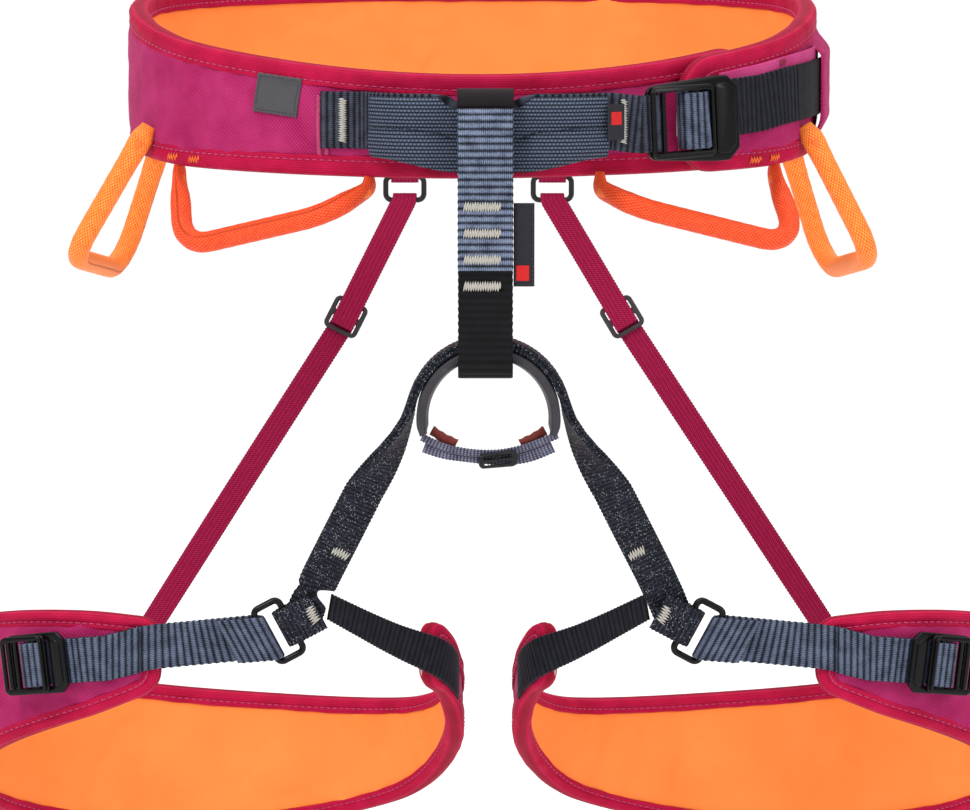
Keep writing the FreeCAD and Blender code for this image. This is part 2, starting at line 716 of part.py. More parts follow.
def bridge_webbing():
    """Webbing from one tab end over the ring to the other tab end."""
    over = []
    for angle in frange(180.0 - ARM_LEAVES_AT, ARM_LEAVES_AT, 15):
        a = math.radians(angle)
        out = Vector(math.cos(a), 0, math.sin(a))
        point = Vector(MID_X, TIE_FRONT_Y, RING_Z) + out * WEBBING_RADIUS
        over.append((point, Y_AXIS * -1, RING_BAND, BRIDGE_THICK))
    right = arm_stations(RIGHT)
    left = arm_stations(LEFT)
    return ribbon(right[::-1] + over + left)


def arc_band(radii, start, stop, width):
    """Band round the ring's centre between two angles, width along Y."""
    inner, outer = radii
    centre = Vector(MID_X, TIE_FRONT_Y - width / 2, RING_Z)

    def spot(radius, angle):
        a = math.radians(angle)
        return centre + Vector(radius * math.cos(a), 0, radius * math.sin(a))

    middle = (start + stop) / 2
    edges = [Part.Arc(spot(outer, start), spot(outer, middle), spot(outer, stop)).toShape(),
             Part.LineSegment(spot(outer, stop), spot(inner, stop)).toShape(),
             Part.Arc(spot(inner, stop), spot(inner, middle), spot(inner, start)).toShape(),
             Part.LineSegment(spot(inner, start), spot(outer, start)).toShape()]
    return Part.Face(Part.Wire(edges)).extrude(Y_AXIS * width)


def keeper_points():
    """Plan of the thin strap that closes the ring's bottom, level where its buckle sits."""
    y = TIE_FRONT_Y - 1.0
    return [Vector(MID_X - 28.0, y, -154.8), Vector(MID_X - 20.0, y, -157.4), Vector(MID_X - 11.0, y, -158.8),
            Vector(MID_X + 18.0, y, -158.8), Vector(MID_X + 23.0, y, -157.0), Vector(MID_X + 28.0, y, -154.8)]


def keeper_buckle():
    """Ladder buckle of the ring's strap: a frame with two slots and a middle bar."""
    length, height, thick = KEEPER_BUCKLE
    centre = Vector(MID_X + 4.2, TIE_FRONT_Y - 1.0, -158.8)
    outer = rectangle(-height / 2, height / 2, -thick / 2 - 1.2, thick / 2 + 1.2, 0.8)
    slot = [rectangle(-height / 2 + 1.2, height / 2 - 1.2, -1.5, 1.5, 0.4)]
    start = centre.x - length / 2
    return plate(outer, slot, lambda u, v: Vector(start, centre.y + v, centre.z + u), X_AXIS * length)


def bridge_parts():
    parts = {"bridge_webbing": bridge_webbing()}
    parts["abrasion_protector"] = arc_band(PROTECTOR_RADII, -14.0, 194.0, RING_BAND - 0.2)
    stations = [(p, Z_AXIS, 8.0, 1.3) for p in keeper_points()]
    parts["ring_keeper_strap"] = ribbon(stations)
    parts["ring_keeper_buckle"] = keeper_buckle()
    tacks = []
    for side in SIDES.values():
        frame = bar_frame(side)
        tab = Frame(frame.at(-11.0, 0, TAB_FOLD + TAB_THICK / 2 + 0.15), frame.s, frame.w)
        tab.h = frame.h
        tacks.append(small_patch(tab, 3.0, 13.0, 0.5))
    parts["bridge_bartacks"] = group(tacks)
    return parts


# ---------------------------------------------------------------- leg loops
def leg_plan(side, angle):
    """Point and outward normal of a leg pad's middle surface; angle from the front, outwards."""
    a = math.radians(angle)
    point = Vector(MID_X + side * (LEG_OUT + LEG_HALF_X * math.sin(a)), LEG_Y - LEG_HALF_Y * math.cos(a), 0)
    normal = Vector(side * math.sin(a) / LEG_HALF_X, -math.cos(a) / LEG_HALF_Y, 0)
    return point, unit(normal)


def on_leg(side, angle, offset, z):
    point, normal = leg_plan(side, angle)
    return point + normal * offset + Z_AXIS * z


def leg_top(angle):
    return eased(LEG_TOP, angle)


def leg_bottom(angle):
    return eased(LEG_BOTTOM, angle)


def leg_pads(side, name):
    def corner(angle, offset, z):
        return on_leg(side, angle, offset, z)

    def low(angle):
        return leg_bottom(angle) + RIM_INSET

    def high(angle):
        return leg_top(angle) - RIM_INSET

    stations = pad_stations(LEG_START, LEG_STOP, LEG_END_RADIUS, 1.85, 7.0)
    parts = {}
    for layer, (inner, outer) in {"outer_shell": SHELL, "foam_core": FOAM, "lining": LINING}.items():
        parts[f"leg_{layer}_{name}"] = pad_layer(stations, corner, inner, outer, low, high)
    upper = pad_binding(stations, corner, leg_top, LEG_LIP, 1)
    lower = pad_binding(stations, corner, leg_bottom, LEG_LIP, -1)
    parts[f"leg_binding_{name}"] = group([upper, lower])
    return parts


def leg_buckle_frame(side):
    """Frame of a leg buckle: s outwards along the pad, h away from the leg."""
    point, normal = leg_plan(side, LEG_BUCKLE_ANGLE)
    origin = point + normal * BASE_OFFSET + Z_AXIS * -258.5
    level = Vector(-normal.y * side, normal.x * side, 0)
    frame = Frame(origin, level + Z_AXIS * -0.14, Z_AXIS)
    frame.h = normal
    return frame


def rect_ring(side):
    """Rectangular ring between the bridge's tab and the leg strap."""
    frame = bar_frame(side)
    wire = RECT_RING["wire"]
    long_half = RECT_RING["length"] / 2
    across = RECT_RING["across"]
    outer = rectangle(-wire / 2, across + wire / 2, -long_half, long_half, 3.0)
    hole = rectangle(wire / 2, across - wire / 2, -long_half + wire, long_half - wire, 1.2)
    ring = plate(outer, [hole], frame.place(-wire / 2), frame.h * wire)
    return ring


def leg_strap(side):
    """Strap from the rectangular ring to the leg buckle and back under itself."""
    bar = bar_frame(side)
    bar_s = RECT_RING["across"]
    fold = RECT_RING["wire"] * 0.75 + GAP + STRAP_THICK / 2
    buckle = leg_buckle_frame(side)
    width = LEG_STRAP_WIDTH
    folded = fold_stations(buckle, LEG_BUCKLE, width, flip=-1)

    def pad_run(angles, offset):
        run = []
        for a in angles:
            z = eased([(8, -248.5), (24, -255.2)], a)
            run.append((on_leg(side, a, offset, z), Z_AXIS, width, STRAP_THICK))
        return run

    angles = [21, 17, 13, 9]
    load = pad_run(angles, BASE_OFFSET - 3.4)
    tail = pad_run(angles[::-1][2:], BASE_OFFSET - 1.4)
    ring_side = []
    for turn in frange(-90.0, 90.0, 9):
        a = math.radians(turn)
        point = bar.at(bar_s - fold * math.cos(a), 0, -fold * math.sin(a))
        ring_side.append((point, bar.w, width, STRAP_THICK))
    sewn_end = [(bar.at(bar_s + 14.0, 0, -fold), bar.w, width, STRAP_THICK)]
    inner = [s for s in reversed(folded)]
    return ribbon(tail + inner + load + ring_side + sewn_end)


def inner_strap(side):
    """Strap from the bridge arm's foot to the pad's inner end."""
    start = Vector(MID_X + side * 70.5, -96.5, -231.0)
    tip = on_leg(side, LEG_STOP - 3.0, BINDING_HALF + 1.4, -262.5)
    wrap = on_leg(side, LEG_STOP - 16.0, BINDING_HALF + 1.4, -269.5)
    path = [start, mix(start, tip, 0.35) + Z_AXIS * -0.8, mix(start, tip, 0.7) + Z_AXIS * -0.6, tip, wrap]
    hint = Vector(side * 0.25, 0, 1)
    widths = (15.0, 16.5, 17.0, 18.0, 18.0)
    points = spline_points(path, 17)
    stations = []
    for k, p in enumerate(points):
        t = k / (len(points) - 1) * (len(widths) - 1)
        i = min(int(t), len(widths) - 2)
        width = mix(widths[i], widths[i + 1], t - i)
        stations.append((p, mix(hint, Z_AXIS, min(1.0, t / 2)), width, STRAP_THICK))
    return ribbon(stations)


def leg_parts():
    parts = {}
    for name, side in SIDES.items():
        parts.update(leg_pads(side, name))
        frame = leg_buckle_frame(side)
        parts[f"leg_strap_{name}"] = leg_strap(side)
        parts[f"rect_ring_{name}"] = rect_ring(side)
        parts[f"leg_buckle_base_{name}"] = buckle_base(frame, LEG_BUCKLE, LEG_STRAP_WIDTH)
        parts[f"leg_buckle_slider_{name}"] = buckle_slider(frame, LEG_BUCKLE, LEG_STRAP_WIDTH)
        parts[f"leg_inner_strap_{name}"] = inner_strap(side)
    return parts


# ---------------------------------------------------------------- risers
def riser_points(side):
    """Ring bar, slider and anchor of one riser."""
    drop = RISER_RING["height"] - RISER_RING["wire"]
    bar = Vector(RISER_RING_X[side], RISER_Y, RISER_PIVOT_Z - drop)
    slider = RISER_SLIDER + X_AXIS * (MID_X - 2.0 + side * RISER_SLIDER_OUT)
    angle = RISER_ANCHOR_ANGLE
    anchor = on_leg(side, angle, BINDING_HALF + 1.8, leg_top(angle) - RISER_ANCHOR_BELOW_RIM)
    return bar, slider, anchor


def riser_strap(side):
    """Elastic strap: doubled over the ring's bar down to the slider, single to the leg."""
    bar, slider, anchor = riser_points(side)
    bend = RISER_RING["wire"] / math.sqrt(2) + GAP + RISER_THICK / 2
    apart = 1.6
    size = (RISER_WIDTH, RISER_THICK)
    below = unit(slider - bar) * 5.0
    front = [(slider + below + Y_AXIS * -apart, X_AXIS, *size), (slider + Y_AXIS * -apart, X_AXIS, *size)]
    over = []
    for turn in frange(0.0, 180.0, 9):
        a = math.radians(turn)
        over.append((bar + Vector(0, -bend * math.cos(a), bend * math.sin(a) + 0.4), X_AXIS, *size))
    down = [slider + Y_AXIS * apart, slider + below + Y_AXIS * apart]
    back = [(p, X_AXIS, *size) for p in down + [mix(slider, anchor, 0.5)]]
    _, normal = leg_plan(side, RISER_ANCHOR_ANGLE)
    along_pad = Z_AXIS.cross(normal)
    if along_pad.x < 0:
        along_pad = along_pad * -1
    back += [(p, along_pad, *size) for p in (mix(slider, anchor, 0.93), anchor, anchor + Z_AXIS * -14.0)]
    return ribbon(front + over + back)


def riser_slider(side):
    """Adjuster that both layers of the riser pass through, with a bar between them."""
    bar, slider, _ = riser_points(side)
    frame = Frame(slider, bar - slider, X_AXIS)
    toward_front = Y_AXIS * -1
    frame.h = unit(toward_front - frame.s * toward_front.dot(frame.s))
    half_w = RISER_WIDTH / 2 + 0.6
    outer = rectangle(-half_w - 2.0, half_w + 2.0, -3.9, 3.9, 1.0)
    slots = [rectangle(-half_w, half_w, 0.7, 2.7), rectangle(-half_w, half_w, -2.7, -0.7)]
    return plate(outer, slots, lambda u, v: frame.at(-3.5, u, v), frame.s * 7.0)


def riser_parts():
    parts = {}
    wire = RISER_RING["wire"]
    half = RISER_RING["length"] / 2
    drop = RISER_RING["height"]
    for name, side in SIDES.items():
        x = RISER_RING_X[side]
        rim = waist_bottom(180.0 - math.degrees(math.atan2(abs(x), WAIST_HALF_Y)))
        stem = rim - 0.5
        pivot = RISER_PIVOT_Z
        tab = [(RISER_Y - 1.4, stem, 0), (RISER_Y + 1.4, stem, 0), (RISER_Y + 3.4, pivot + 2.6, 0),
               (RISER_Y + 3.4, pivot - 3.4, 3.4), (RISER_Y - 3.4, pivot - 3.4, 3.4),
               (RISER_Y - 3.4, pivot + 2.6, 0)]
        solid = plate(tab, [], yz_place(x - 6.5), X_AXIS * 13.0)
        hole = Part.makeCylinder(2.1, 20.0, Vector(x - 10.0, RISER_Y, pivot), X_AXIS)
        parts[f"riser_tab_{name}"] = solid.cut(hole)
        outer = rectangle(x - half, x + half, pivot - drop + wire / 2, pivot + wire / 2, 2.4)
        window = rectangle(x - half + wire, x + half - wire, pivot - drop + 1.5 * wire, pivot - wire / 2, 0.8)
        parts[f"riser_ring_{name}"] = plate(outer, [window], lambda u, v: Vector(u, RISER_Y - wire / 2, v),
                                            Y_AXIS * wire)
        parts[f"riser_strap_{name}"] = riser_strap(side)
        parts[f"riser_slider_{name}"] = riser_slider(side)
    return parts


# ---------------------------------------------------------------- everything
def build():
    frame = waist_buckle_frame()
    parts = {}
    parts.update(waist_pads())
    parts.update(waist_details(frame))
    parts.update(gear_loops())
    parts.update(belay_parts())
    parts.update(bridge_parts())
    parts.update(leg_parts())
    parts.update(riser_parts())
    return parts


os.makedirs("parts", exist_ok=True)
for node, shape in build().items():
    if not shape.isValid():
        print("not valid:", node)
    shape.exportStep(os.path.join("parts", node + ".step"))
    print(f"{node}: {len(shape.Solids)} solid(s), {shape.Volume / 1000:.2f} cm3")
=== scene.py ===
"""Looks of a climbing harness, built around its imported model.

Lengths are in millimetres here and become metres when a mesh is made.  Every vertex carries a "strand"
attribute: its place along, across and out of the strip of fabric that it belongs to, in millimetres, so
weaves and stitches follow the fabric wherever it bends.
"""
import math

import bmesh
import bpy
import numpy as np
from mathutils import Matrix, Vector
from mathutils.bvhtree import BVHTree


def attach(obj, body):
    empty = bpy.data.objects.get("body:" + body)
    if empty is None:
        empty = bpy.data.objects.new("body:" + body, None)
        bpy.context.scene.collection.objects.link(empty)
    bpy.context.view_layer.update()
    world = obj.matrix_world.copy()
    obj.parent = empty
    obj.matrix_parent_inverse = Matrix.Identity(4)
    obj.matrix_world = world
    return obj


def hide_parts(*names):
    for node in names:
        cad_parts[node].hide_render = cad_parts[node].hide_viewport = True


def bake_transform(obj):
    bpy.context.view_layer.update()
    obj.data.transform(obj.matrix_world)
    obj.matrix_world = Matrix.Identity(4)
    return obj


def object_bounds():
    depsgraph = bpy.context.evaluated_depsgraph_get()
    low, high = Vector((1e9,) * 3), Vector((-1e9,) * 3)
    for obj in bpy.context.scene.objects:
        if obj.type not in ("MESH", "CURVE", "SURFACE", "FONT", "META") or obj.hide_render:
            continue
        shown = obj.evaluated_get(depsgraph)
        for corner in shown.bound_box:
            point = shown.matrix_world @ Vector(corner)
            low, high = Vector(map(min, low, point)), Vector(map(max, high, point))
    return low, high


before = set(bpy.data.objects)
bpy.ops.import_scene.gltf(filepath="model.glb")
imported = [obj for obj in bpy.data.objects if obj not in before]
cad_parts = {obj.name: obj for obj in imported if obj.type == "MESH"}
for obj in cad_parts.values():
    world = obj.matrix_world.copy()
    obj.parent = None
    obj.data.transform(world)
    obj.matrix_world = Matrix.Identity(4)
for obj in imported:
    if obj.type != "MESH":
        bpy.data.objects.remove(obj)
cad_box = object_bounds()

MM = 0.001
RIGHT = -1
LEFT = 1
SIDES = {"right": RIGHT, "left": LEFT}
X_AXIS = np.array([1.0, 0.0, 0.0])
Y_AXIS = np.array([0.0, 1.0, 0.0])
Z_AXIS = np.array([0.0, 0.0, 1.0])

# Waist belt
WAIST_HALF_X = {RIGHT: 158.0, LEFT: 147.0}
WAIST_HALF_Y = 110.0
WAIST_SQUARENESS = 2.3
WAIST_TOP = [(0, 5.5), (30, 8.2), (60, 18.0), (90, 34.5), (130, 40.5), (180, 41.5)]
WAIST_BOTTOM = [(0, -39.5), (60, -36.7), (90, -31.2), (130, -35.0), (180, -40.0)]
TONGUE_ANGLE = 60.0
TIP_ANGLE = -318.0
TONGUE_DEPTH = 11.0
WAIST_END_RADIUS = 15.0
WAIST_LIP = 9.0

# Tie-in webbing and its sleeve
TIE_WIDTH = 25.0
TIE_THICK = 2.0
TIE_Z = -14.1
TIE_FRONT_Y = -136.0
TIE_DIP = 4.6
TIE_DIP_HALF = 14.0
SLEEVE_X = (-47.7, 52.0)
BELT_TO_TIE = 6.1

# Buckles and straps
STRAP_THICK = 1.6
WAIST_STRAP_WIDTH = 25.0
WAIST_BUCKLE = {"length": 45.0, "width": 33.0, "wide_end": 37.5, "narrow": 5.0, "wide": 12.5}
WAIST_BUCKLE_ANGLE = 42.5
WAIST_BUCKLE_Z = -14.5
WAIST_BUCKLE_TILT = 3.0
LEG_STRAP_WIDTH = 20.0
LEG_BUCKLE = {"length": 32.0, "width": 27.5, "wide_end": 27.5, "narrow": 4.0, "wide": 8.0}
LEG_BUCKLE_ANGLE = 37.0
BASE_THICK = 2.4
SLIDER_THICK = 2.2
SLIDER_BAR = 4.5
SLIDER_TRAVEL = 3.0
BASE_OFFSET = 9.4
STRAP_RISE = 0.22
GAP = 0.3

# Belay loop
BELAY_X = 0.2
BELAY_WIDTH = 23.5
BELAY_HALF = 15.2
BELAY_WALL = 4.2
BELAY_TOP = -1.1
BELAY_BOTTOM = -124.6
BELAY_STEP_Z = -77.0

# Bridge between the leg loops
MID_X = 1.5
RING_Z = -142.4
RING_BAND = 17.0
PROTECTOR_RADII = (25.9, 31.3)
WEBBING_RADIUS = 33.8
BRIDGE_THICK = 4.2
TAB_THICK = 2.2
ARM_LEAVES_AT = 25.0
BAR_OUT = 87.5
BAR_Y = -103.0
BAR_Z = -237.9
BAR_TILT = 28.0
TAB_FOLD = 4.5

# Leg loops
LEG_OUT = 128.5
LEG_Y = -5.0
LEG_HALF_X = 113.0
LEG_HALF_Y = 88.0
LEG_TOP = [(0, -238), (27, -235), (55, -239.6), (90, -253), (135, -283),
           (180, -297.8), (230, -296.5), (265, -278), (298, -245.3)]
LEG_BOTTOM = [(0, -266), (27, -282.6), (55, -301.5), (90, -330), (135, -357),
              (180, -365.6), (230, -345), (265, -310), (298, -276)]
LEG_START = 9.0
LEG_STOP = 298.0
LEG_END_RADIUS = 8.0
LEG_LIP = 7.0
RECT_RING = {"length": 29.0, "across": 12.6, "wire": 3.0}

# Gear loops and risers
GEAR_RADIUS = 5.0
GEAR_DROP = GEAR_RADIUS + 0.6
RISER_RING_X = {RIGHT: -38.7, LEFT: 32.5}
RISER_Y = 114.0
RISER_PIVOT_Z = -52.0
RISER_RING = {"length": 21.0, "height": 14.0, "wire": 2.6}
RISER_WIDTH = 11.5
RISER_THICK = 1.0
RISER_SLIDER_OUT = 66.5
RISER_SLIDER = np.array([0.0, 102.0, -119.0])
RISER_ANCHOR_ANGLE = 153.0
RISER_ANCHOR_BELOW_RIM = 7.0

# Fabric
RIB_PITCH = 3.1
RIB_DEPTH = 0.45
STATION = 0.4                    # spacing of a webbing's cross-sections
PAD_HALF = 4.7
PAD_CELL = 3.0                   # size of a pad's cells in the cloth simulation
CLOTH_FRAMES = 20
CLOTH_CAP = 2.6                  # how far the simulation may move a point


# ---------------------------------------------------------------- small helpers
def smoothstep(t):
    t = np.clip(t, 0.0, 1.0)
    return t * t * (3 - 2 * t)


def mix(a, b, t):
    return a * (1 - t) + b * t


def unit(v):
    v = np.asarray(v, float)
    return v / np.linalg.norm(v, axis=-1, keepdims=True)


def vec(x, y, z):
    return np.array([x, y, z], float)


def eased(table, x):
    """Smooth curve through (x, value) pairs, level at both ends."""
    xs = np.array([p[0] for p in table], float)
    ys = np.array([p[1] for p in table], float)
    slopes = np.zeros(len(xs))
    slopes[1:-1] = (ys[2:] - ys[:-2]) / (xs[2:] - xs[:-2])
    x = np.clip(x, xs[0], xs[-1])
    i = np.clip(np.searchsorted(xs, x, "right") - 1, 0, len(xs) - 2)
    span = xs[i + 1] - xs[i]
    t = (x - xs[i]) / span
    return (ys[i] * (1 + 2 * t) * (1 - t) ** 2 + ys[i + 1] * t * t * (3 - 2 * t)
            + slopes[i] * span * t * (1 - t) ** 2 - slopes[i + 1] * span * t * t * (1 - t))


def lengths(points):
    """Distance along a polyline at each of its points."""
    steps = np.linalg.norm(np.diff(points, axis=0), axis=1)
    return np.concatenate([[0.0], np.cumsum(steps)])


def sampled(points, spacing, *others):
    """Evenly spaced points on a polyline, with any other per-point values interpolated alike."""
    points = np.asarray(points, float)
    s = lengths(points)
    count = max(2, int(round(s[-1] / spacing)) + 1)
    new = np.linspace(0.0, s[-1], count)

    def spread(values):
        values = np.asarray(values, float)
        if values.ndim == 1:
            return np.interp(new, s, values)
        return np.stack([np.interp(new, s, values[:, k]) for k in range(values.shape[1])], axis=1)

    results = [spread(points)] + [spread(v) for v in others]
    return results if others else results[0]


def blurred(values, reach, closed=False):
    """Running mean over reach samples each way, with both ends kept."""
    if reach < 1:
        return values
    n = len(values)
    result = np.zeros_like(values)
    weight = np.hanning(2 * reach + 3)[1:-1]
    weight /= weight.sum()
    for k, w in enumerate(weight):
        index = np.arange(n) + k - reach
        if closed:
            result += w * values[index % n]
        else:
            low = np.clip(index, 0, n - 1)
            mirrored = values[low]
            before = index < 0
            after = index > n - 1
            mirrored[before] = 2 * values[0] - values[np.clip(-index[before], 0, n - 1)]
            mirrored[after] = 2 * values[-1] - values[np.clip(2 * (n - 1) - index[after], 0, n - 1)]
            result += w * mirrored
    return result


def smooth_path(points, spacing=STATION):
    """Evenly spaced points on a natural cubic spline through the given ones."""
    points = np.asarray(points, float)
    t = lengths(points)
    n = len(t)
    h = np.diff(t)
    system = np.zeros((n, n))
    system[0, 0] = system[-1, -1] = 1.0
    rest = np.zeros_like(points)
    for k in range(1, n - 1):
        system[k, k - 1:k + 2] = h[k - 1], 2 * (h[k - 1] + h[k]), h[k]
        rest[k] = 6 * ((points[k + 1] - points[k]) / h[k] - (points[k] - points[k - 1]) / h[k - 1])
    bend = np.linalg.solve(system, rest)
    fine = np.linspace(0.0, t[-1], int(t[-1] / (spacing * 0.5)) + 2)
    i = np.clip(np.searchsorted(t, fine, "right") - 1, 0, n - 2)
    a = ((t[i + 1] - fine) / h[i])[:, None]
    b = ((fine - t[i]) / h[i])[:, None]
    square = (h[i] ** 2)[:, None] / 6
    bulge = (a ** 3 - a) * bend[i] + (b ** 3 - b) * bend[i + 1]
    curve = a * points[i] + b * points[i + 1] + square * bulge
    return sampled(curve, spacing)


def walk(corners, step=8.0):
    """Points along a polyline (u, v, radius) with each corner rounded by an arc."""
    points = [np.array(corners[0][:2], float)]
    for before, corner, after in zip(corners, corners[1:], corners[2:]):
        points += rounded_corner(before, corner, after, step)
    points.append(np.array(corners[-1][:2], float))
    return np.array(points)


def corner_arc(before, corner, after, radius, step=None, count=14):
    """Points on the arc that rounds a corner: a count of them, or about one for each step of degrees."""
    a = unit(before - corner)
    b = unit(after - corner)
    half = math.acos(np.clip(a @ b, -1, 1)) / 2
    centre = corner + unit(a + b) * radius / math.sin(half)
    start = corner + a * radius / math.tan(half) - centre
    stop = corner + b * radius / math.tan(half) - centre
    turn = math.pi - 2 * half
    if step:
        count = max(2, int(math.degrees(turn) / step) + 2)
    share = np.linspace(0, 1, count)[:, None]
    return list(centre + (start * np.sin((1 - share) * turn) + stop * np.sin(share * turn)) / math.sin(turn))


def rounded_corner(before, corner, after, step):
    """Arc that replaces one corner of an outline; radius 0 keeps the corner."""
    c = np.array(corner[:2], float)
    if corner[2] <= 0:
        return [c]
    return corner_arc(np.array(before[:2], float), c, np.array(after[:2], float), corner[2], step)


def closed_outline(corners, step=10.0):
    points = []
    for before, corner, after in zip(corners[-1:] + corners, corners, corners[1:] + corners[:1]):
        points += rounded_corner(before, corner, after, step)
    return np.array(points)


def closed_route(corners, spacing=0.6, step=9.0):
    """Evenly spaced points (u, v) round a closed outline."""
    outline = closed_outline(corners, step)
    return sampled(np.concatenate([outline, outline[:1]]), spacing)[:-1]


def rectangle(u0, u1, v0, v1, radius=0.0):
    return [(u0, v0, radius), (u1, v0, radius), (u1, v1, radius), (u0, v1, radius)]


def ripple(x, y, seed):
    """Smooth, repeatable unevenness between about -1 and 1; x and y are in millimetres."""
    total = 0.0
    for k in range(5):
        bearing = 2.4 * k + seed * 1.7
        wave = 2 * math.pi / (38.0 / (1 + 0.55 * k))
        total = total + np.sin(wave * (x * math.cos(bearing) + y * math.sin(bearing)) + seed * 3.1 + k * k)
    return total / 3.2


class Frame:
    """Local axes on a surface: s along the strap, w across it, h outwards."""

    def __init__(self, origin, along, up, out=None):
        self.origin = np.asarray(origin, float)
        self.s = unit(along)
        self.w = unit(up - self.s * (up @ self.s))
        self.h = unit(out) if out is not None else np.cross(self.s, self.w)

    def at(self, s, w=0.0, h=0.0):
        s, w, h = np.broadcast_arrays(s, w, h)
        return self.origin + s[..., None] * self.s + w[..., None] * self.w + h[..., None] * self.h


# ---------------------------------------------------------------- meshes
def strands(*parts):
    """Strand coordinates out of three arrays that fit together in shape."""
    return np.stack(np.broadcast_arrays(*parts), axis=-1)


def new_object(name, vertices, faces, strand=None, smooth=True):
    mesh = bpy.data.meshes.new(name)
    mesh.from_pydata((np.asarray(vertices) * MM).tolist(), [], [tuple(f) for f in faces])
    if strand is not None:
        attribute = mesh.attributes.new("strand", "FLOAT_VECTOR", "POINT")
        attribute.data.foreach_set("vector", np.asarray(strand, np.float32).ravel())
    work = bmesh.new()
    work.from_mesh(mesh)
    bmesh.ops.recalc_face_normals(work, faces=work.faces)
    work.to_mesh(mesh)
    work.free()
    mesh.polygons.foreach_set("use_smooth", [smooth] * len(mesh.polygons))
    piece = bpy.data.objects.new(name, mesh)
    bpy.context.scene.collection.objects.link(piece)
    return piece


def grid_faces(rows, columns, closed_rows=False, closed_columns=True):
    index = np.arange(rows * columns).reshape(rows, columns)
    ahead = np.roll(index, -1, axis=0)
    beside = np.roll(index, -1, axis=1)
    both = np.roll(beside, -1, axis=0)
    quads = np.stack([index, beside, both, ahead], axis=-1)
    if not closed_rows:
        quads = quads[:-1]
    if not closed_columns:
        quads = quads[:, :-1]
    return quads.reshape(-1, 4).tolist()


def lofted(name, rings, strand, closed=False, sharp=None):
    """Closed mesh through rings of points (stations x corners x 3)."""
    rows, columns, _ = rings.shape
    faces = grid_faces(rows, columns, closed)
    if not closed:
        faces.append(list(range(columns)))
        faces.append(list(range((rows - 1) * columns, rows * columns)))
    piece = new_object(name, rings.reshape(-1, 3), faces, strand.reshape(-1, 3))
    if sharp is not None:
        piece.data.set_sharp_from_angle(angle=math.radians(sharp))
    return piece


def path_axes(path, hint, closed=False):
    if closed:
        along = unit(np.roll(path, -1, axis=0) - np.roll(path, 1, axis=0))
    else:
        along = unit(np.gradient(path, axis=0))
    across = unit(hint - along * np.sum(hint * along, axis=1, keepdims=True))
    return along, across, np.cross(along, across)


def strap_profile(half_width, half_thick, layers, across_count=14):
    """Cross-section of a strap as (w, t) with t = +-1 on its faces; its edges show the layers."""
    edge = min(half_thick, 0.9)
    w = np.linspace(-1, 1, across_count) * (half_width - edge)
    top = [(x, 1.0, 1.0) for x in w]
    side = []
    for k in range(1, 8 * layers):
        t = 1 - 2 * k / (8 * layers)
        local = ((k % 8) - 4) / 4.0 if k % 8 else 1.0
        bulge = math.sqrt(max(0.0, 1 - local * local)) if layers > 1 else math.sqrt(max(0.0, 1 - t * t))
        side.append((half_width - edge + edge * bulge, t, 0.0))
    bottom = [(x, -1.0, 1.0) for x in w[::-1]]
    return np.array(top + side + bottom + [(-x, -t, m) for x, t, m in side])


def webbing(name, path, hint, width, thick, pitch=RIB_PITCH, depth=RIB_DEPTH, layers=1, closed=False,
            skew=False):
    """Woven strap with cross ribs.  width and thick are numbers or one value per point.

    A skewed strap keeps its cross-sections parallel to the hint instead of square to the path."""
    path = np.asarray(path, float)
    n = len(path)
    hint = np.broadcast_to(hint, path.shape)
    width = np.broadcast_to(width, (n,)).astype(float)
    thick = np.broadcast_to(thick, (n,)).astype(float)
    along, across, out = path_axes(path, hint, closed)
    if skew:
        across = hint / np.linalg.norm(np.cross(along, hint), axis=1, keepdims=True)
    s = lengths(path)
    if closed:
        total = s[-1] + np.linalg.norm(path[0] - path[-1])
        pitch = total / round(total / pitch)
    crest = np.abs(np.sin(math.pi * s / pitch)) ** 0.7
    profile = strap_profile(width[0] / 2, thick[0] / 2, layers)
    w = profile[None, :, 0] * (width / width[0])[:, None]
    t = profile[None, :, 1] * (thick / 2)[:, None]
    ribbed = profile[None, :, 2] * depth * (1 - crest[:, None])
    t = t - np.sign(t) * ribbed
    fray = (1 - profile[None, :, 2]) * 0.18 * (np.sin(2 * math.pi * s / pitch + 0.8)[:, None])
    w = w + np.sign(w) * fray
    rings = path[:, None] + w[..., None] * across[:, None] + t[..., None] * out[:, None]
    return lofted(name, rings, strands(s[:, None], w, t), closed)


def thread(name, paths, radius, sides=6):
    """Round threads along several polylines, as one piece."""
    turn = np.linspace(0, 2 * math.pi, sides, endpoint=False)
    vertices, faces, places = [], [], []
    base = 0
    for path in paths:
        path = np.asarray(path, float)
        along = unit(np.gradient(path, axis=0))
        least = np.eye(3)[np.argmin(np.abs(along).mean(axis=0))]
        a = unit(np.cross(along, least))
        b = np.cross(along, a)
        taper = np.ones(len(path))
        taper[0] = taper[-1] = 0.45
        ring = (path[:, None] + radius * taper[:, None, None]
                * (np.cos(turn)[None, :, None] * a[:, None] + np.sin(turn)[None, :, None] * b[:, None]))
        vertices.append(ring.reshape(-1, 3))
        places.append(strands(lengths(path)[:, None], turn, 0.0).reshape(-1, 3))
        faces += [[base + i for i in f] for f in grid_faces(len(path), sides)]
        faces.append([base + i for i in range(sides)])
        faces.append([base + (len(path) - 1) * sides + i for i in range(sides)])
        base += len(path) * sides
    return new_object(name, np.concatenate(vertices), faces, np.concatenate(places))


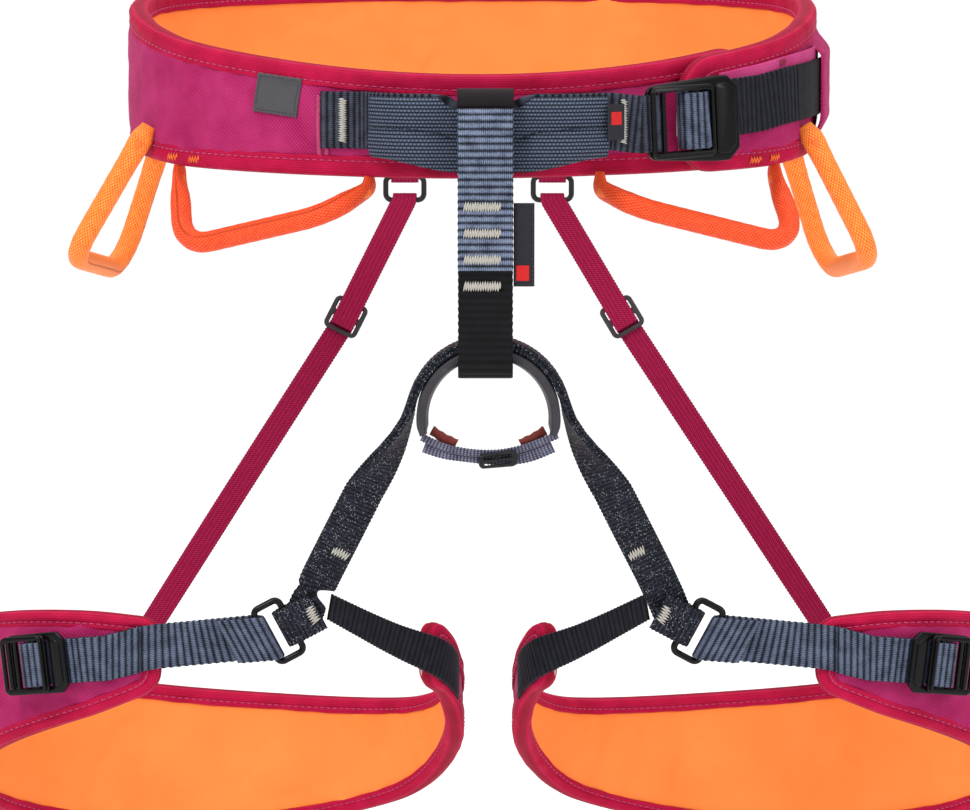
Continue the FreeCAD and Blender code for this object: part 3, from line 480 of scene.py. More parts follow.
def zigzag(local, length, height, count, lift=0.35, slant=0.25):
    """Satin-stitched bar centred on a frame: a thread that runs to and fro across it."""
    points = []
    for k in range(2 * count + 1):
        u = -length / 2 + length * k / (2 * count)
        v = height / 2 * (1 if k % 2 else -1) * (1 + 0.08 * math.sin(2.3 * k))
        points.append((u + slant * (1 if k % 2 else -1), v))
    path = []
    for (u0, v0), (u1, v1) in zip(points, points[1:]):
        for t in np.linspace(0, 1, 5)[:-1]:
            path.append(local.at(mix(u0, u1, t), mix(v0, v1, t), lift * math.sin(math.pi * t) ** 0.5))
    return np.array(path)


def plate(name, local, outer, holes, thick, bevel=0.5, lift=0.0):
    """Flat metal or plastic piece with rounded edges, standing on h = lift of its frame."""
    shape = bpy.data.curves.new(name, "CURVE")
    shape.dimensions = "2D"
    shape.fill_mode = "BOTH"
    shape.extrude = (thick / 2 - bevel) * MM
    shape.bevel_depth = bevel * MM
    shape.bevel_resolution = 3
    shape.offset = -bevel * MM
    for corners in [outer] + holes:
        points = closed_outline(corners)
        spline = shape.splines.new("POLY")
        spline.points.add(len(points) - 1)
        for target, (u, v) in zip(spline.points, points):
            target.co = (u * MM, v * MM, 0.0, 1.0)
        spline.use_cyclic_u = True
    drawn = bpy.data.objects.new(name + "_outline", shape)
    bpy.context.scene.collection.objects.link(drawn)
    bpy.context.view_layer.update()
    mesh = bpy.data.meshes.new_from_object(drawn.evaluated_get(bpy.context.evaluated_depsgraph_get()))
    bpy.data.objects.remove(drawn)
    co = np.zeros(len(mesh.vertices) * 3)
    mesh.vertices.foreach_get("co", co)
    co = co.reshape(-1, 3) / MM
    placed = local.at(co[:, 0], co[:, 1], co[:, 2] + lift + thick / 2)
    faces = [tuple(p.vertices) for p in mesh.polygons]
    bpy.data.meshes.remove(mesh)
    piece = new_object(name, placed, faces, co)
    work = bmesh.new()
    work.from_mesh(piece.data)
    bmesh.ops.remove_doubles(work, verts=work.verts, dist=1e-6)
    bmesh.ops.recalc_face_normals(work, faces=work.faces)
    work.to_mesh(piece.data)
    work.free()
    piece.data.polygons.foreach_set("use_smooth", [True] * len(piece.data.polygons))
    piece.data.set_sharp_from_angle(angle=math.radians(35))
    return piece


def rod(name, path, radius, sides, hint):
    """Round bar along a closed path."""
    _, across, out = path_axes(path, np.broadcast_to(hint, path.shape), True)
    turn = np.linspace(0, 2 * math.pi, sides, endpoint=False)
    w = np.ones((len(path), 1)) * np.cos(turn) * radius
    t = np.ones((len(path), 1)) * np.sin(turn) * radius
    rings = path[:, None] + w[..., None] * across[:, None] + t[..., None] * out[:, None]
    return lofted(name, rings, strands(lengths(path)[:, None], turn * radius, w * 0 + radius), True)


def joined(name, pieces):
    """One piece out of several."""
    bpy.ops.object.select_all(action="DESELECT")
    for piece in pieces:
        piece.select_set(True)
    bpy.context.view_layer.objects.active = pieces[0]
    bpy.ops.object.join()
    pieces[0].name = name
    pieces[0].data.name = name
    return pieces[0]


def finished(piece, body, look, slot, *nodes):
    """Gives a piece its look and body, and says which nodes it stands for."""
    piece.data.materials.clear()
    piece.data.materials.append(LOOKS[look])
    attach(piece, body)
    if nodes:
        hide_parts(*nodes)
    return piece


# ---------------------------------------------------------------- materials
class Look:
    """Builds one procedural material.  Numbers that are the same all over go straight on the shader."""

    def __init__(self, name, roughness, sheen=0.0, **fixed):
        self.material = bpy.data.materials.new(name)
        self.material.use_nodes = True
        self.tree = self.material.node_tree
        self.shader = self.tree.nodes["Principled BSDF"]
        self.shader.inputs["Roughness"].default_value = roughness
        self.shader.inputs["Sheen Weight"].default_value = sheen
        self.shader.inputs["Sheen Roughness"].default_value = 0.35
        for socket, value in fixed.items():
            self.shader.inputs[socket.replace("_", " ")].default_value = value
        strand = self.node("ShaderNodeAttribute", attribute_name="strand")
        parts = self.node("ShaderNodeSeparateXYZ", {0: strand.outputs["Vector"]})
        self.vector = strand.outputs["Vector"]
        self.u, self.v, self.h = parts.outputs

    def node(self, kind, inputs=None, **settings):
        made = self.tree.nodes.new(kind)
        for key, value in settings.items():
            setattr(made, key, value)
        for key, value in (inputs or {}).items():
            if isinstance(value, bpy.types.NodeSocket):
                self.tree.links.new(value, made.inputs[key])
            else:
                made.inputs[key].default_value = value
        return made

    def math(self, operation, *values):
        return self.node("ShaderNodeMath", dict(enumerate(values)), operation=operation).outputs[0]

    def mul(self, a, b):
        return self.math("MULTIPLY", a, b)

    def add(self, a, b):
        return self.math("ADD", a, b)

    def sub(self, a, b):
        return self.math("SUBTRACT", a, b)

    def div(self, a, b):
        return self.math("DIVIDE", a, b)

    def muladd(self, a, b, c):
        return self.math("MULTIPLY_ADD", a, b, c)

    def wave(self, value, pitch, phase=0.0):
        """Sine of a length, from -1 to 1."""
        turned = self.muladd(value, 2 * math.pi / pitch, phase)
        return self.math("SINE", turned)

    def crest(self, value, pitch, power=0.7):
        """Row of round ridges from 0 in the grooves to 1 on top."""
        turned = self.mul(value, math.pi / pitch)
        return self.math("POWER", self.math("ABSOLUTE", self.math("SINE", turned)), power)

    def noise(self, scale, detail=3.0, vector=None):
        source = self.vector if vector is None else vector
        made = self.node("ShaderNodeTexNoise", {"Vector": source, "Scale": scale, "Detail": detail})
        return made.outputs["Fac"]

    def ramp(self, value, *stops):
        made = self.node("ShaderNodeValToRGB", {0: value})
        while len(made.color_ramp.elements) < len(stops):
            made.color_ramp.elements.new(0.5)
        for element, (place, colour) in zip(made.color_ramp.elements, stops):
            element.position = place
            element.color = (*colour, 1.0)
        return made.outputs["Color"]

    def blend(self, a, b, amount, kind="MIX"):
        made = self.node("ShaderNodeMix", data_type="RGBA", blend_type=kind)
        for key, value in ((0, amount), (6, a), (7, b)):
            if isinstance(value, bpy.types.NodeSocket):
                self.tree.links.new(value, made.inputs[key])
            else:
                made.inputs[key].default_value = (*value, 1.0) if isinstance(value, tuple) else value
        return made.outputs[2]

    def colour(self, socket):
        self.tree.links.new(socket, self.shader.inputs["Base Color"])

    def roughness(self, value, low, high):
        spread = self.node("ShaderNodeMapRange", {0: value, 3: low, 4: high}).outputs[0]
        self.tree.links.new(spread, self.shader.inputs["Roughness"])

    def bump(self, height, distance, strength=1.0):
        """Height from 0 to 1, distance in millimetres."""
        made = self.node("ShaderNodeBump",
                         {"Height": height, "Distance": distance * MM, "Strength": strength})
        self.tree.links.new(made.outputs[0], self.shader.inputs["Normal"])


def twill_look(name, deep, body, light, pitch=1.5, sheen=0.12, sheen_tint=(1.0, 0.35, 0.6)):
    """Twill: fine diagonal ribs with a soft sheen."""
    look = Look(name, 0.72, sheen, Sheen_Tint=(*sheen_tint, 1.0), Specular_IOR_Level=0.12)
    slope = look.muladd(look.v, -0.8, look.u)
    diagonal = look.wave(slope, pitch)
    counter = look.wave(look.add(look.v, look.u), pitch * 0.62)
    yarn = look.muladd(look.mul(diagonal, counter), 0.22, 0.5)
    weave = look.muladd(diagonal, 0.22, 0.0)
    height = look.add(yarn, weave)
    cloud = look.noise(0.055, 4.0)
    grain = look.noise(1.9, 2.0)
    shade = look.muladd(grain, 0.35, look.mul(height, 0.8))
    tone = look.ramp(look.add(shade, -0.14), (0.15, deep), (0.45, body), (0.85, light))
    look.colour(look.blend(tone, look.blend(tone, light, 0.45), look.muladd(cloud, 3.0, -1.05)))
    creases = look.noise(0.06, 2.0)
    fine = look.muladd(grain, 0.03, look.mul(height, 0.16))
    look.bump(look.muladd(creases, 1.0, fine), 1.5, 0.8)
    return look.material


def tape_look(name, deep, body, light, pitch=1.25):
    """Edge tape: a tight knit of short slanted stitches in rows."""
    look = Look(name, 0.66, 0.06, Sheen_Tint=(1.0, 0.4, 0.6, 1.0), Specular_IOR_Level=0.12)
    rows = look.crest(look.v, pitch * 0.8)
    stitch = look.wave(look.muladd(look.v, 0.9, look.u), pitch)
    height = look.muladd(stitch, 0.22, look.mul(rows, 0.5))
    cloud = look.noise(0.09, 3.0)
    tone = look.ramp(look.muladd(cloud, 0.5, look.mul(height, 0.7)),
                     (0.2, deep), (0.55, body), (0.95, light))
    look.colour(tone)
    look.bump(height, 0.14, 0.7)
    return look.material


def knit_look(name, body, light):
    """Lining: smooth fine knit with tiny dimples."""
    look = Look(name, 0.8, 0.05, Sheen_Tint=(1.0, 0.7, 0.4, 1.0), Specular_IOR_Level=0.08)
    dots = look.mul(look.wave(look.u, 1.5), look.wave(look.v, 1.5))
    cloud = look.noise(0.03, 3.0)
    tone = look.blend(body, light, look.muladd(cloud, 1.4, -0.25))
    look.colour(look.blend(tone, look.blend(tone, body, 0.5), look.muladd(dots, 0.3, 0.3)))
    look.bump(look.muladd(dots, 0.5, look.noise(0.8, 2.0)), 0.05, 0.5)
    return look.material


def webbing_look(name, groove_shade, body, crest, pitch=RIB_PITCH, yarn=0.82, speckle=0.0, roughness=0.55):
    """Ribbed webbing: a painted highlight on the rib crests and painted shade, near black, in the grooves
    between them.
    """
    look = Look(name, roughness, 0.03, Sheen_Tint=(0.7, 0.8, 1.0, 1.0), Specular_IOR_Level=0.14)
    rib = look.crest(look.u, pitch)
    yarns = look.crest(look.v, yarn, 0.6)
    grain = look.noise(1.4, 3.0)
    patch = look.noise(0.16, 2.0)
    height = look.mul(look.muladd(rib, 0.8, 0.2), look.muladd(yarns, 0.55, 0.45))
    level = look.muladd(grain, 0.55, look.mul(height, 0.85))
    level = look.add(level, look.muladd(patch, 0.5, -0.48))
    # Painted light: the ramp runs from painted shade in the grooves to a painted highlight on the rib and
    # yarn crests.
    tone = look.ramp(level, (0.18, groove_shade), (0.5, body), (0.95, crest))
    if speckle > 0:
        flecks = look.node("ShaderNodeTexVoronoi", {"Vector": look.vector, "Scale": 1.15, "Randomness": 1.0})
        fleck = look.ramp(flecks.outputs["Distance"], (0.16, (1, 1, 1)), (0.30, (0, 0, 0)))
        some = look.ramp(look.noise(0.4, 2.0), (0.4, (0, 0, 0)), (0.6, (1, 1, 1)))
        tone = look.blend(tone, (0.55, 0.57, 0.62), look.mul(look.mul(fleck, some), speckle))
    look.colour(tone)
    look.roughness(grain, roughness - 0.08, roughness + 0.15)
    look.bump(look.muladd(yarns, 0.7, look.mul(grain, 0.5)), 0.16, 0.8)
    return look.material


def canvas_look(name, deep, body, light, across=1.6, along=1.5):
    """Coarse plain weave whose floats lie in rows."""
    look = Look(name, 0.68, 0.04, Sheen_Tint=(0.7, 0.8, 1.0, 1.0), Specular_IOR_Level=0.14)
    rows = look.crest(look.v, across, 0.8)
    row = look.math("FLOOR", look.div(look.v, across))
    shifted = look.muladd(row, along * 0.5, 0.0)
    floats = look.crest(look.add(look.u, shifted), along, 0.5)
    grain = look.noise(1.2, 3.0)
    height = look.mul(rows, look.muladd(floats, 0.65, 0.35))
    level = look.muladd(grain, 0.4, look.mul(height, 0.75))
    look.colour(look.ramp(level, (0.25, deep), (0.6, body), (0.95, light)))
    look.bump(height, 0.3, 0.8)
    return look.material


def elastic_look(name, deep, body, light):
    """Riser elastic: fine slanted ribs in lengthwise columns."""
    look = Look(name, 0.62, 0.06, Sheen_Tint=(1.0, 0.4, 0.6, 1.0), Specular_IOR_Level=0.12)
    slanted = look.wave(look.add(look.mul(look.u, 1.0), look.mul(look.v, 0.55)), 1.1)
    columns = look.crest(look.v, 1.9, 0.5)
    height = look.muladd(slanted, 0.25, look.mul(columns, 0.5))
    grain = look.noise(1.1, 3.0)
    look.colour(look.ramp(look.muladd(grain, 0.5, height), (0.15, deep), (0.55, body), (1.0, light)))
    look.bump(height, 0.12, 0.7)
    return look.material


def braid_look(name, deep, body, light, around=1.6, along=2.1):
    """Braided sheath: two sets of strands that cross."""
    look = Look(name, 0.5, 0.06, Sheen_Tint=(1.0, 0.7, 0.4, 1.0), Specular_IOR_Level=0.25)
    a = look.crest(look.add(look.div(look.u, along), look.div(look.v, around)), 1.0)
    b = look.crest(look.sub(look.div(look.u, along), look.div(look.v, around)), 1.0)
    height = look.mul(a, b)
    grain = look.noise(0.35, 3.0)
    level = look.muladd(grain, 0.45, look.mul(height, 0.7))
    look.colour(look.ramp(level, (0.12, deep), (0.5, body), (1.0, light)))
    look.bump(height, 0.22, 0.8)
    return look.material


def thread_look(name, deep, light, roughness=0.5):
    look = Look(name, roughness, 0.2, Specular_IOR_Level=0.4)
    twist = look.wave(look.muladd(look.v, 0.35, look.u), 0.5)
    grain = look.noise(0.7, 2.0)
    look.colour(look.blend(deep, light, look.muladd(twist, 0.25, grain)))
    look.bump(look.muladd(twist, 0.5, 0.5), 0.06, 0.6)
    return look.material


def metal_look(name, colour, edge_glint_tone):
    """Black anodised alloy: fine brushing, and a painted highlight along its convex edges."""
    look = Look(name, 0.2, Coat_Weight=0.07, Coat_Roughness=0.08, Specular_IOR_Level=0.12)
    place = look.node("ShaderNodeTexCoord").outputs["Object"]
    fine = look.noise(900.0, 4.0, place)
    broad = look.noise(60.0, 3.0, place)
    edges = look.node("ShaderNodeNewGeometry").outputs["Pointiness"]
    rim = look.ramp(edges, (0.53, (0, 0, 0)), (0.62, (1, 1, 1)))
    # Painted highlight: this mask lightens convex edges, found by pointiness, towards the paler tone, broken
    # up by fine noise.
    wear = look.mul(rim, look.muladd(fine, 0.8, 0.1))
    look.colour(look.blend(look.blend(colour, edge_glint_tone, look.mul(broad, 0.06)), edge_glint_tone, wear))
    look.roughness(fine, 0.14, 0.32)
    look.bump(fine, 0.02, 0.4)
    return look.material


def plastic_look(name, colour, light, roughness, coarse=260.0):
    """Moulded plastic: a fine spark texture and a painted highlight along its convex edges."""
    look = Look(name, roughness, Specular_IOR_Level=0.25)
    place = look.node("ShaderNodeTexCoord").outputs["Object"]
    fine = look.noise(coarse * 6, 3.0, place)
    broad = look.noise(coarse * 0.4, 3.0, place)
    edges = look.node("ShaderNodeNewGeometry").outputs["Pointiness"]
    rim = look.ramp(edges, (0.52, (0, 0, 0)), (0.64, (1, 1, 1)))
    tone = look.blend(colour, light, look.muladd(broad, 0.5, -0.1))
    # Painted highlight: convex edges, found by pointiness, go half way towards the light colour.
    look.colour(look.blend(tone, light, look.mul(rim, 0.5)))
    look.roughness(broad, roughness - 0.06, roughness + 0.1)
    look.bump(fine, 0.03, 0.5)
    return look.material


def label_look(name, body, light):
    """Woven label: tight rows, no print."""
    look = Look(name, 0.6, 0.04, Specular_IOR_Level=0.15)
    rows = look.crest(look.v, 0.7)
    fine = look.crest(look.u, 0.9)
    height = look.muladd(rows, 0.5, look.mul(fine, 0.3))
    look.colour(look.blend(body, light, look.muladd(height, 0.5, look.mul(look.noise(0.3, 2.0), 0.3))))
    look.bump(height, 0.08, 0.6)
    return look.material


LOOKS = {
    "magenta": twill_look("magenta_twill", (0.17, 0.001, 0.040), (0.32, 0.006, 0.080), (0.54, 0.042, 0.18)),
    "blush": twill_look("blush_twill", (0.30, 0.006, 0.08), (0.46, 0.030, 0.16), (0.62, 0.10, 0.27)),
    "crimson": tape_look("crimson_tape", (0.22, 0.0005, 0.016), (0.42, 0.0015, 0.042), (0.62, 0.014, 0.090)),
    "lining": knit_look("orange_lining", (0.95, 0.220, 0.046), (1.0, 0.285, 0.070)),
    # Each webbing look goes from painted shade in its grooves to a painted highlight on its rib crests.
    "navy": webbing_look("navy_webbing", (0.0015, 0.002, 0.004), (0.016, 0.020, 0.034),
                         (0.125, 0.155, 0.235)),
    "slate": webbing_look("slate_webbing", (0.002, 0.003, 0.006), (0.024, 0.030, 0.050),
                          (0.205, 0.250, 0.365)),
    "tie": webbing_look("tie_in_webbing", (0.001, 0.0012, 0.002), (0.007, 0.008, 0.013),
                        (0.062, 0.070, 0.105)),
    "night": webbing_look("night_webbing", (0.0006, 0.0006, 0.001), (0.0025, 0.0025, 0.0045),
                          (0.016, 0.018, 0.030)),
    "black_webbing": webbing_look("black_webbing", (0.0004, 0.0004, 0.0005), (0.001, 0.001, 0.0015),
                                  (0.006, 0.0065, 0.009)),
    "charcoal": webbing_look("charcoal_webbing", (0.0016, 0.0014, 0.0018), (0.004, 0.0032, 0.004),
                             (0.015, 0.012, 0.015), pitch=1.5, yarn=0.9),
    "bridge": webbing_look("bridge_webbing", (0.0005, 0.0007, 0.0015), (0.0025, 0.0032, 0.006),
                           (0.020, 0.024, 0.040), pitch=1.9, speckle=0.6),
    "thin_strap": webbing_look("keeper_webbing", (0.010, 0.010, 0.020), (0.045, 0.045, 0.078),
                               (0.19, 0.19, 0.26), pitch=1.5, yarn=1.0),
    "canvas": canvas_look("canvas_sleeve", (0.002, 0.003, 0.006), (0.017, 0.022, 0.037),
                          (0.112, 0.138, 0.205)),
    "elastic": elastic_look("riser_elastic", (0.13, 0.0005, 0.014), (0.225, 0.002, 0.034),
                            (0.34, 0.010, 0.075)),
    "sheath": braid_look("orange_sheath", (0.72, 0.060, 0.002), (0.95, 0.190, 0.016), (1.0, 0.40, 0.09)),
    # Darker copy of the orange braid: painted shade for the front gear loops, which hang under the belt.
    "shaded_sheath": braid_look("shaded_orange_sheath", (0.50, 0.014, 0.001), (0.78, 0.052, 0.008),
                              (0.95, 0.14, 0.03)),
    "core": plastic_look("loop_core", (0.80, 0.12, 0.01), (0.9, 0.25, 0.06), 0.3),
    "cream": thread_look("cream_thread", (0.24, 0.22, 0.19), (0.62, 0.60, 0.54)),
    "pink_thread": thread_look("pink_thread", (0.30, 0.004, 0.06), (0.62, 0.07, 0.21)),
    "deep_thread": thread_look("deep_thread", (0.16, 0.0005, 0.02), (0.36, 0.012, 0.08)),
    "orange_thread": thread_look("orange_thread", (0.72, 0.06, 0.004), (1.0, 0.22, 0.03)),
    "navy_thread": thread_look("navy_thread", (0.003, 0.004, 0.007), (0.03, 0.036, 0.055)),
    # The second colour is the paler tone of the painted edge highlight, also mixed in faintly at random.
    "metal": metal_look("anodised_metal", (0.0015, 0.0015, 0.002), (0.05, 0.05, 0.055)),
    "ring": plastic_look("ring_plastic", (0.026, 0.024, 0.029), (0.07, 0.066, 0.076), 0.5),
    "black": plastic_look("black_plastic", (0.004, 0.004, 0.005), (0.045, 0.045, 0.05), 0.32),
    "cap": tape_look("cap_tape", (0.001, 0.0005, 0.0008), (0.003, 0.0012, 0.002), (0.010, 0.005, 0.007)),
    "grey_label": label_look("grey_label", (0.050, 0.048, 0.053), (0.085, 0.082, 0.090)),
    "dark_label": label_look("dark_label", (0.010, 0.010, 0.013), (0.030, 0.030, 0.036)),
    "red_label": label_look("red_label", (0.42, 0.004, 0.006), (0.62, 0.03, 0.03)),
    "rust": label_look("rust_webbing", (0.10, 0.014, 0.012), (0.22, 0.045, 0.035)),
    "foam": plastic_look("pad_foam", (0.40, 0.40, 0.38), (0.55, 0.55, 0.52), 0.9, 90.0),
    "load": webbing_look("load_webbing", (0.005, 0.005, 0.006), (0.015, 0.015, 0.018), (0.06, 0.06, 0.07)),
}


# ---------------------------------------------------------------- pads
def waist_plan(angle):
    a = np.radians(angle)
    half_x = np.where(np.sin(a) > 0, WAIST_HALF_X[LEFT], WAIST_HALF_X[RIGHT])
    n = WAIST_SQUARENESS
    reach = (np.abs(np.sin(a) / half_x) ** n + np.abs(np.cos(a) / WAIST_HALF_Y) ** n) ** (-1 / n)
    x = reach * np.sin(a)
    y = -reach * np.cos(a)
    normal = np.stack([np.copysign(np.abs(x) ** (n - 1) / half_x ** n, x),
                       np.copysign(np.abs(y) ** (n - 1) / WAIST_HALF_Y ** n, y), x * 0], axis=-1)
    return np.stack([x, y, x * 0], axis=-1), unit(normal)


def leg_plan(side):
    def plan(angle):
        a = np.radians(angle)
        point = np.stack([MID_X + side * (LEG_OUT + LEG_HALF_X * np.sin(a)), LEG_Y - LEG_HALF_Y * np.cos(a),
                          a * 0], -1)
        normal = np.stack([side * np.sin(a) / LEG_HALF_X, -np.cos(a) / LEG_HALF_Y, a * 0], -1)
        return point, unit(normal)
    return plan


def from_front(angle):
    return np.abs((angle + 180.0) % 360.0 - 180.0)


def waist_top(angle):
    return eased(WAIST_TOP, from_front(angle))


def waist_bottom(angle):
    return eased(WAIST_BOTTOM, from_front(angle))


def tongue_shift(angle):
    return -TONGUE_DEPTH * smoothstep((angle + 8.0) / 38.0)


def on_waist(angle, offset, z):
    point, normal = waist_plan(np.asarray(angle, float))
    return point + normal * np.asarray(offset, float)[..., None] + Z_AXIS * np.asarray(z, float)[..., None]


class Pad:
    """Curved pad: u runs along it from its inner end, z is height, h is the distance out of its middle."""

    def __init__(self, plan, top, bottom, start, stop, radius, shift=None):
        margin = math.copysign(4.0, stop - start)
        self.angle = np.linspace(start - margin, stop + margin, 1600)
        point, normal = plan(self.angle)
        if shift is not None:
            point = point + normal * shift(self.angle)[:, None]
            along = unit(np.gradient(point, axis=0))
            turned = np.cross(along, Z_AXIS)
            normal = turned * np.sign(np.sum(turned * normal, axis=1))[:, None]
        u = lengths(point)
        order = int(math.copysign(1, margin))
        self.u = u - np.interp(start, self.angle[::order], u[::order])
        self.length = self.u_at(stop)
        self.point = point
        self.normal = normal
        self.top = top
        self.bottom = bottom
        self.radius = radius

    def u_at(self, angle):
        if self.angle[0] < self.angle[-1]:
            return np.interp(angle, self.angle, self.u)
        return np.interp(angle, self.angle[::-1], self.u[::-1])

    def angle_at(self, u):
        return np.interp(u, self.u, self.angle)

    def axes(self, u):
        point = np.stack([np.interp(u, self.u, self.point[:, k]) for k in range(3)], axis=-1)
        normal = unit(np.stack([np.interp(u, self.u, self.normal[:, k]) for k in range(3)], axis=-1))
        return point, normal

    def at(self, u, z, h):
        u, z, h = np.broadcast_arrays(np.asarray(u, float), z, h)
        point, normal = self.axes(u)
        return point + normal * h[..., None] + Z_AXIS * z[..., None]

    def edges(self, u):
        """Lower and upper height of the pad at u, with its corners rounded."""
        u = np.clip(u, 0, self.length)
        near = np.clip(self.radius - np.minimum(u, self.length - u), 0, self.radius)
        inset = self.radius - np.sqrt(self.radius ** 2 - near ** 2)
        angle = self.angle_at(u)
        return self.bottom(angle) + inset, self.top(angle) - inset

    def rim(self, spacing):
        """Closed outline in (u, z), and the direction towards the pad's middle at each point."""
        turn = np.radians(np.linspace(0, 90, 12))
        corner = self.radius * (1 - np.cos(turn))
        u = np.concatenate([corner, np.linspace(self.radius, self.length - self.radius, 300)[1:-1],
                            (self.length - corner)[::-1]])
        low, high = self.edges(u)
        outline = np.concatenate([np.stack([u, low], 1), np.stack([u, high], 1)[::-1]])
        outline = np.concatenate([outline, outline[:1]])
        even = sampled(outline, spacing)[:-1]
        even = blurred(even, 2, closed=True)
        along = unit(np.roll(even, -1, axis=0) - np.roll(even, 1, axis=0))
        inward = np.stack([-along[:, 1], along[:, 0]], axis=1)
        return even, inward


def binding(name, pad, lip, seed):
    """Tape folded over the pad's whole rim, sewn down near its edges and puckered by the stitches."""
    rim, inward = pad.rim(1.25)
    s = np.arange(len(rim)) * 1.25
    sewn = lip - 2.3
    e = np.array([0.0, 0.25, 1.0, 2.3, 3.8, sewn - 0.8, sewn, sewn + 0.8, lip - 0.4, lip])
    h = np.array([1.6, 3.1, 4.0, 4.45, 4.5, 4.3, 4.05, 4.35, 4.5, 4.15])
    outer_e = np.concatenate([e[::-1], [-0.35, -0.35], e])
    outer_h = np.concatenate([h[::-1], [0.9, -0.9], -h])
    inner_e = np.concatenate([e[1:-1] + 0.45, [lip - 0.05]])
    inner_h = np.concatenate([h[1:-1] - 0.6, [3.75]])
    profile_e = np.concatenate([outer_e, inner_e[::-1], inner_e])
    profile_h = np.concatenate([outer_h, -inner_h[::-1], inner_h])
    pucker = 0.13 * np.sin(2 * math.pi * s / 3.4)[:, None] * np.exp(-((profile_e - sewn) / 1.1) ** 2)[None]
    fade = np.exp(-((profile_e - 3.0) / 3.5) ** 2)[None]
    soft = 0.28 * ripple(s[:, None] * 1.6, profile_e[None] * 2.0, seed) * fade
    depth = profile_h[None] + np.sign(profile_h)[None] * (pucker + soft)
    wander = 0.22 * ripple(s * 0.8, s * 0, seed + 3)
    reach = profile_e[None] + np.where(profile_e > lip - 1.2, wander[:, None], 0.0)
    flat = rim[:, None] + inward[:, None] * reach[..., None]
    rings = pad.at(flat[..., 0], flat[..., 1], depth)
    across = np.concatenate([-outer_e[:len(e)], [0, 0], outer_e[-len(e):], inner_e[::-1], -inner_e])
    return lofted(name, rings, strands(s[:, None], across, depth), closed=True)


def binding_stitches(name, pad, lip, faces, length=2.3, pitch=3.4, skip=None):
    """Lockstitches along the tape: short threads on each face, sunk at both ends."""
    rim, inward = pad.rim(pitch)
    sewn = rim + inward * (lip - 2.3)
    along = unit(np.roll(sewn, -1, axis=0) - np.roll(sewn, 1, axis=0))
    paths = []
    for face in faces:
        for k in range(len(sewn)):
            if skip is not None and skip(sewn[k]):
                continue
            t = np.linspace(-0.5, 0.5, 5)
            flat = sewn[k] + along[k] * (t * length)[:, None]
            paths.append(pad.at(flat[:, 0], flat[:, 1], face * (4.02 + 0.42 * np.cos(math.pi * t))))
    return thread(name, paths, 0.34)


def envelope(pad, inset, half):
    """Grid of the pad's cover: rows along the pad, columns over the outside and back over the inside."""
    count = int((pad.length - 2 * inset) / PAD_CELL) + 1
    u = np.linspace(inset, pad.length - inset, count)
    low, high = pad.edges(u)
    rows = max(10, int(np.max(high - low) / PAD_CELL))
    share = np.linspace(0, 1, rows)
    z = (low + inset)[:, None] + (high - low - 2 * inset)[:, None] * share[None]
    u = np.broadcast_to(u[:, None], z.shape)
    from_rim = np.minimum(np.minimum(z - low[:, None], high[:, None] - z), np.minimum(u, pad.length - u))
    return u, z, from_rim, np.full(z.shape, half)


def bag_faces(rows, columns):
    """Faces of two sheets that are joined all round: a tube of rows, closed by quads at both ends."""
    faces = grid_faces(rows, 2 * columns)
    for k in range(columns - 1):
        for base in (0, (rows - 1) * 2 * columns):
            faces.append([base + k, base + k + 1, base + 2 * columns - 2 - k, base + 2 * columns - 1 - k])
    return faces


def inflated(ring, faces, held, pressure, slack):
    """Where the points of a bag go when cloth blows it up around its held points."""
    bag = new_object("cloth_bag", ring.reshape(-1, 3), faces)
    bag.vertex_groups.new(name="sewn").add(np.nonzero(held)[0].tolist(), 1.0, "REPLACE")
    cloth = bag.modifiers.new("Cloth", "CLOTH")
    settings = cloth.settings
    settings.quality = 6
    settings.mass = 0.2
    settings.tension_stiffness = 18.0
    settings.compression_stiffness = 18.0
    settings.shear_stiffness = 8.0
    settings.bending_stiffness = 0.15
    settings.air_damping = 1.0
    settings.shrink_min = -slack
    settings.use_pressure = True
    settings.uniform_pressure_force = pressure
    settings.vertex_group_mass = "sewn"
    settings.effector_weights.gravity = 0.0
    cloth.collision_settings.use_self_collision = False
    cloth.collision_settings.use_collision = False
    cloth.point_cache.frame_start = 1
    cloth.point_cache.frame_end = CLOTH_FRAMES
    scene = bpy.context.scene
    for step in range(1, CLOTH_FRAMES + 1):
        scene.frame_set(step)
    settled = bag.evaluated_get(bpy.context.evaluated_depsgraph_get())
    places = np.zeros(len(settled.data.vertices) * 3)
    settled.data.vertices.foreach_get("co", places)
    scene.frame_set(1)
    mesh = bag.data
    bpy.data.objects.remove(bag)
    bpy.data.meshes.remove(mesh)
    return places.reshape(ring.shape) / MM


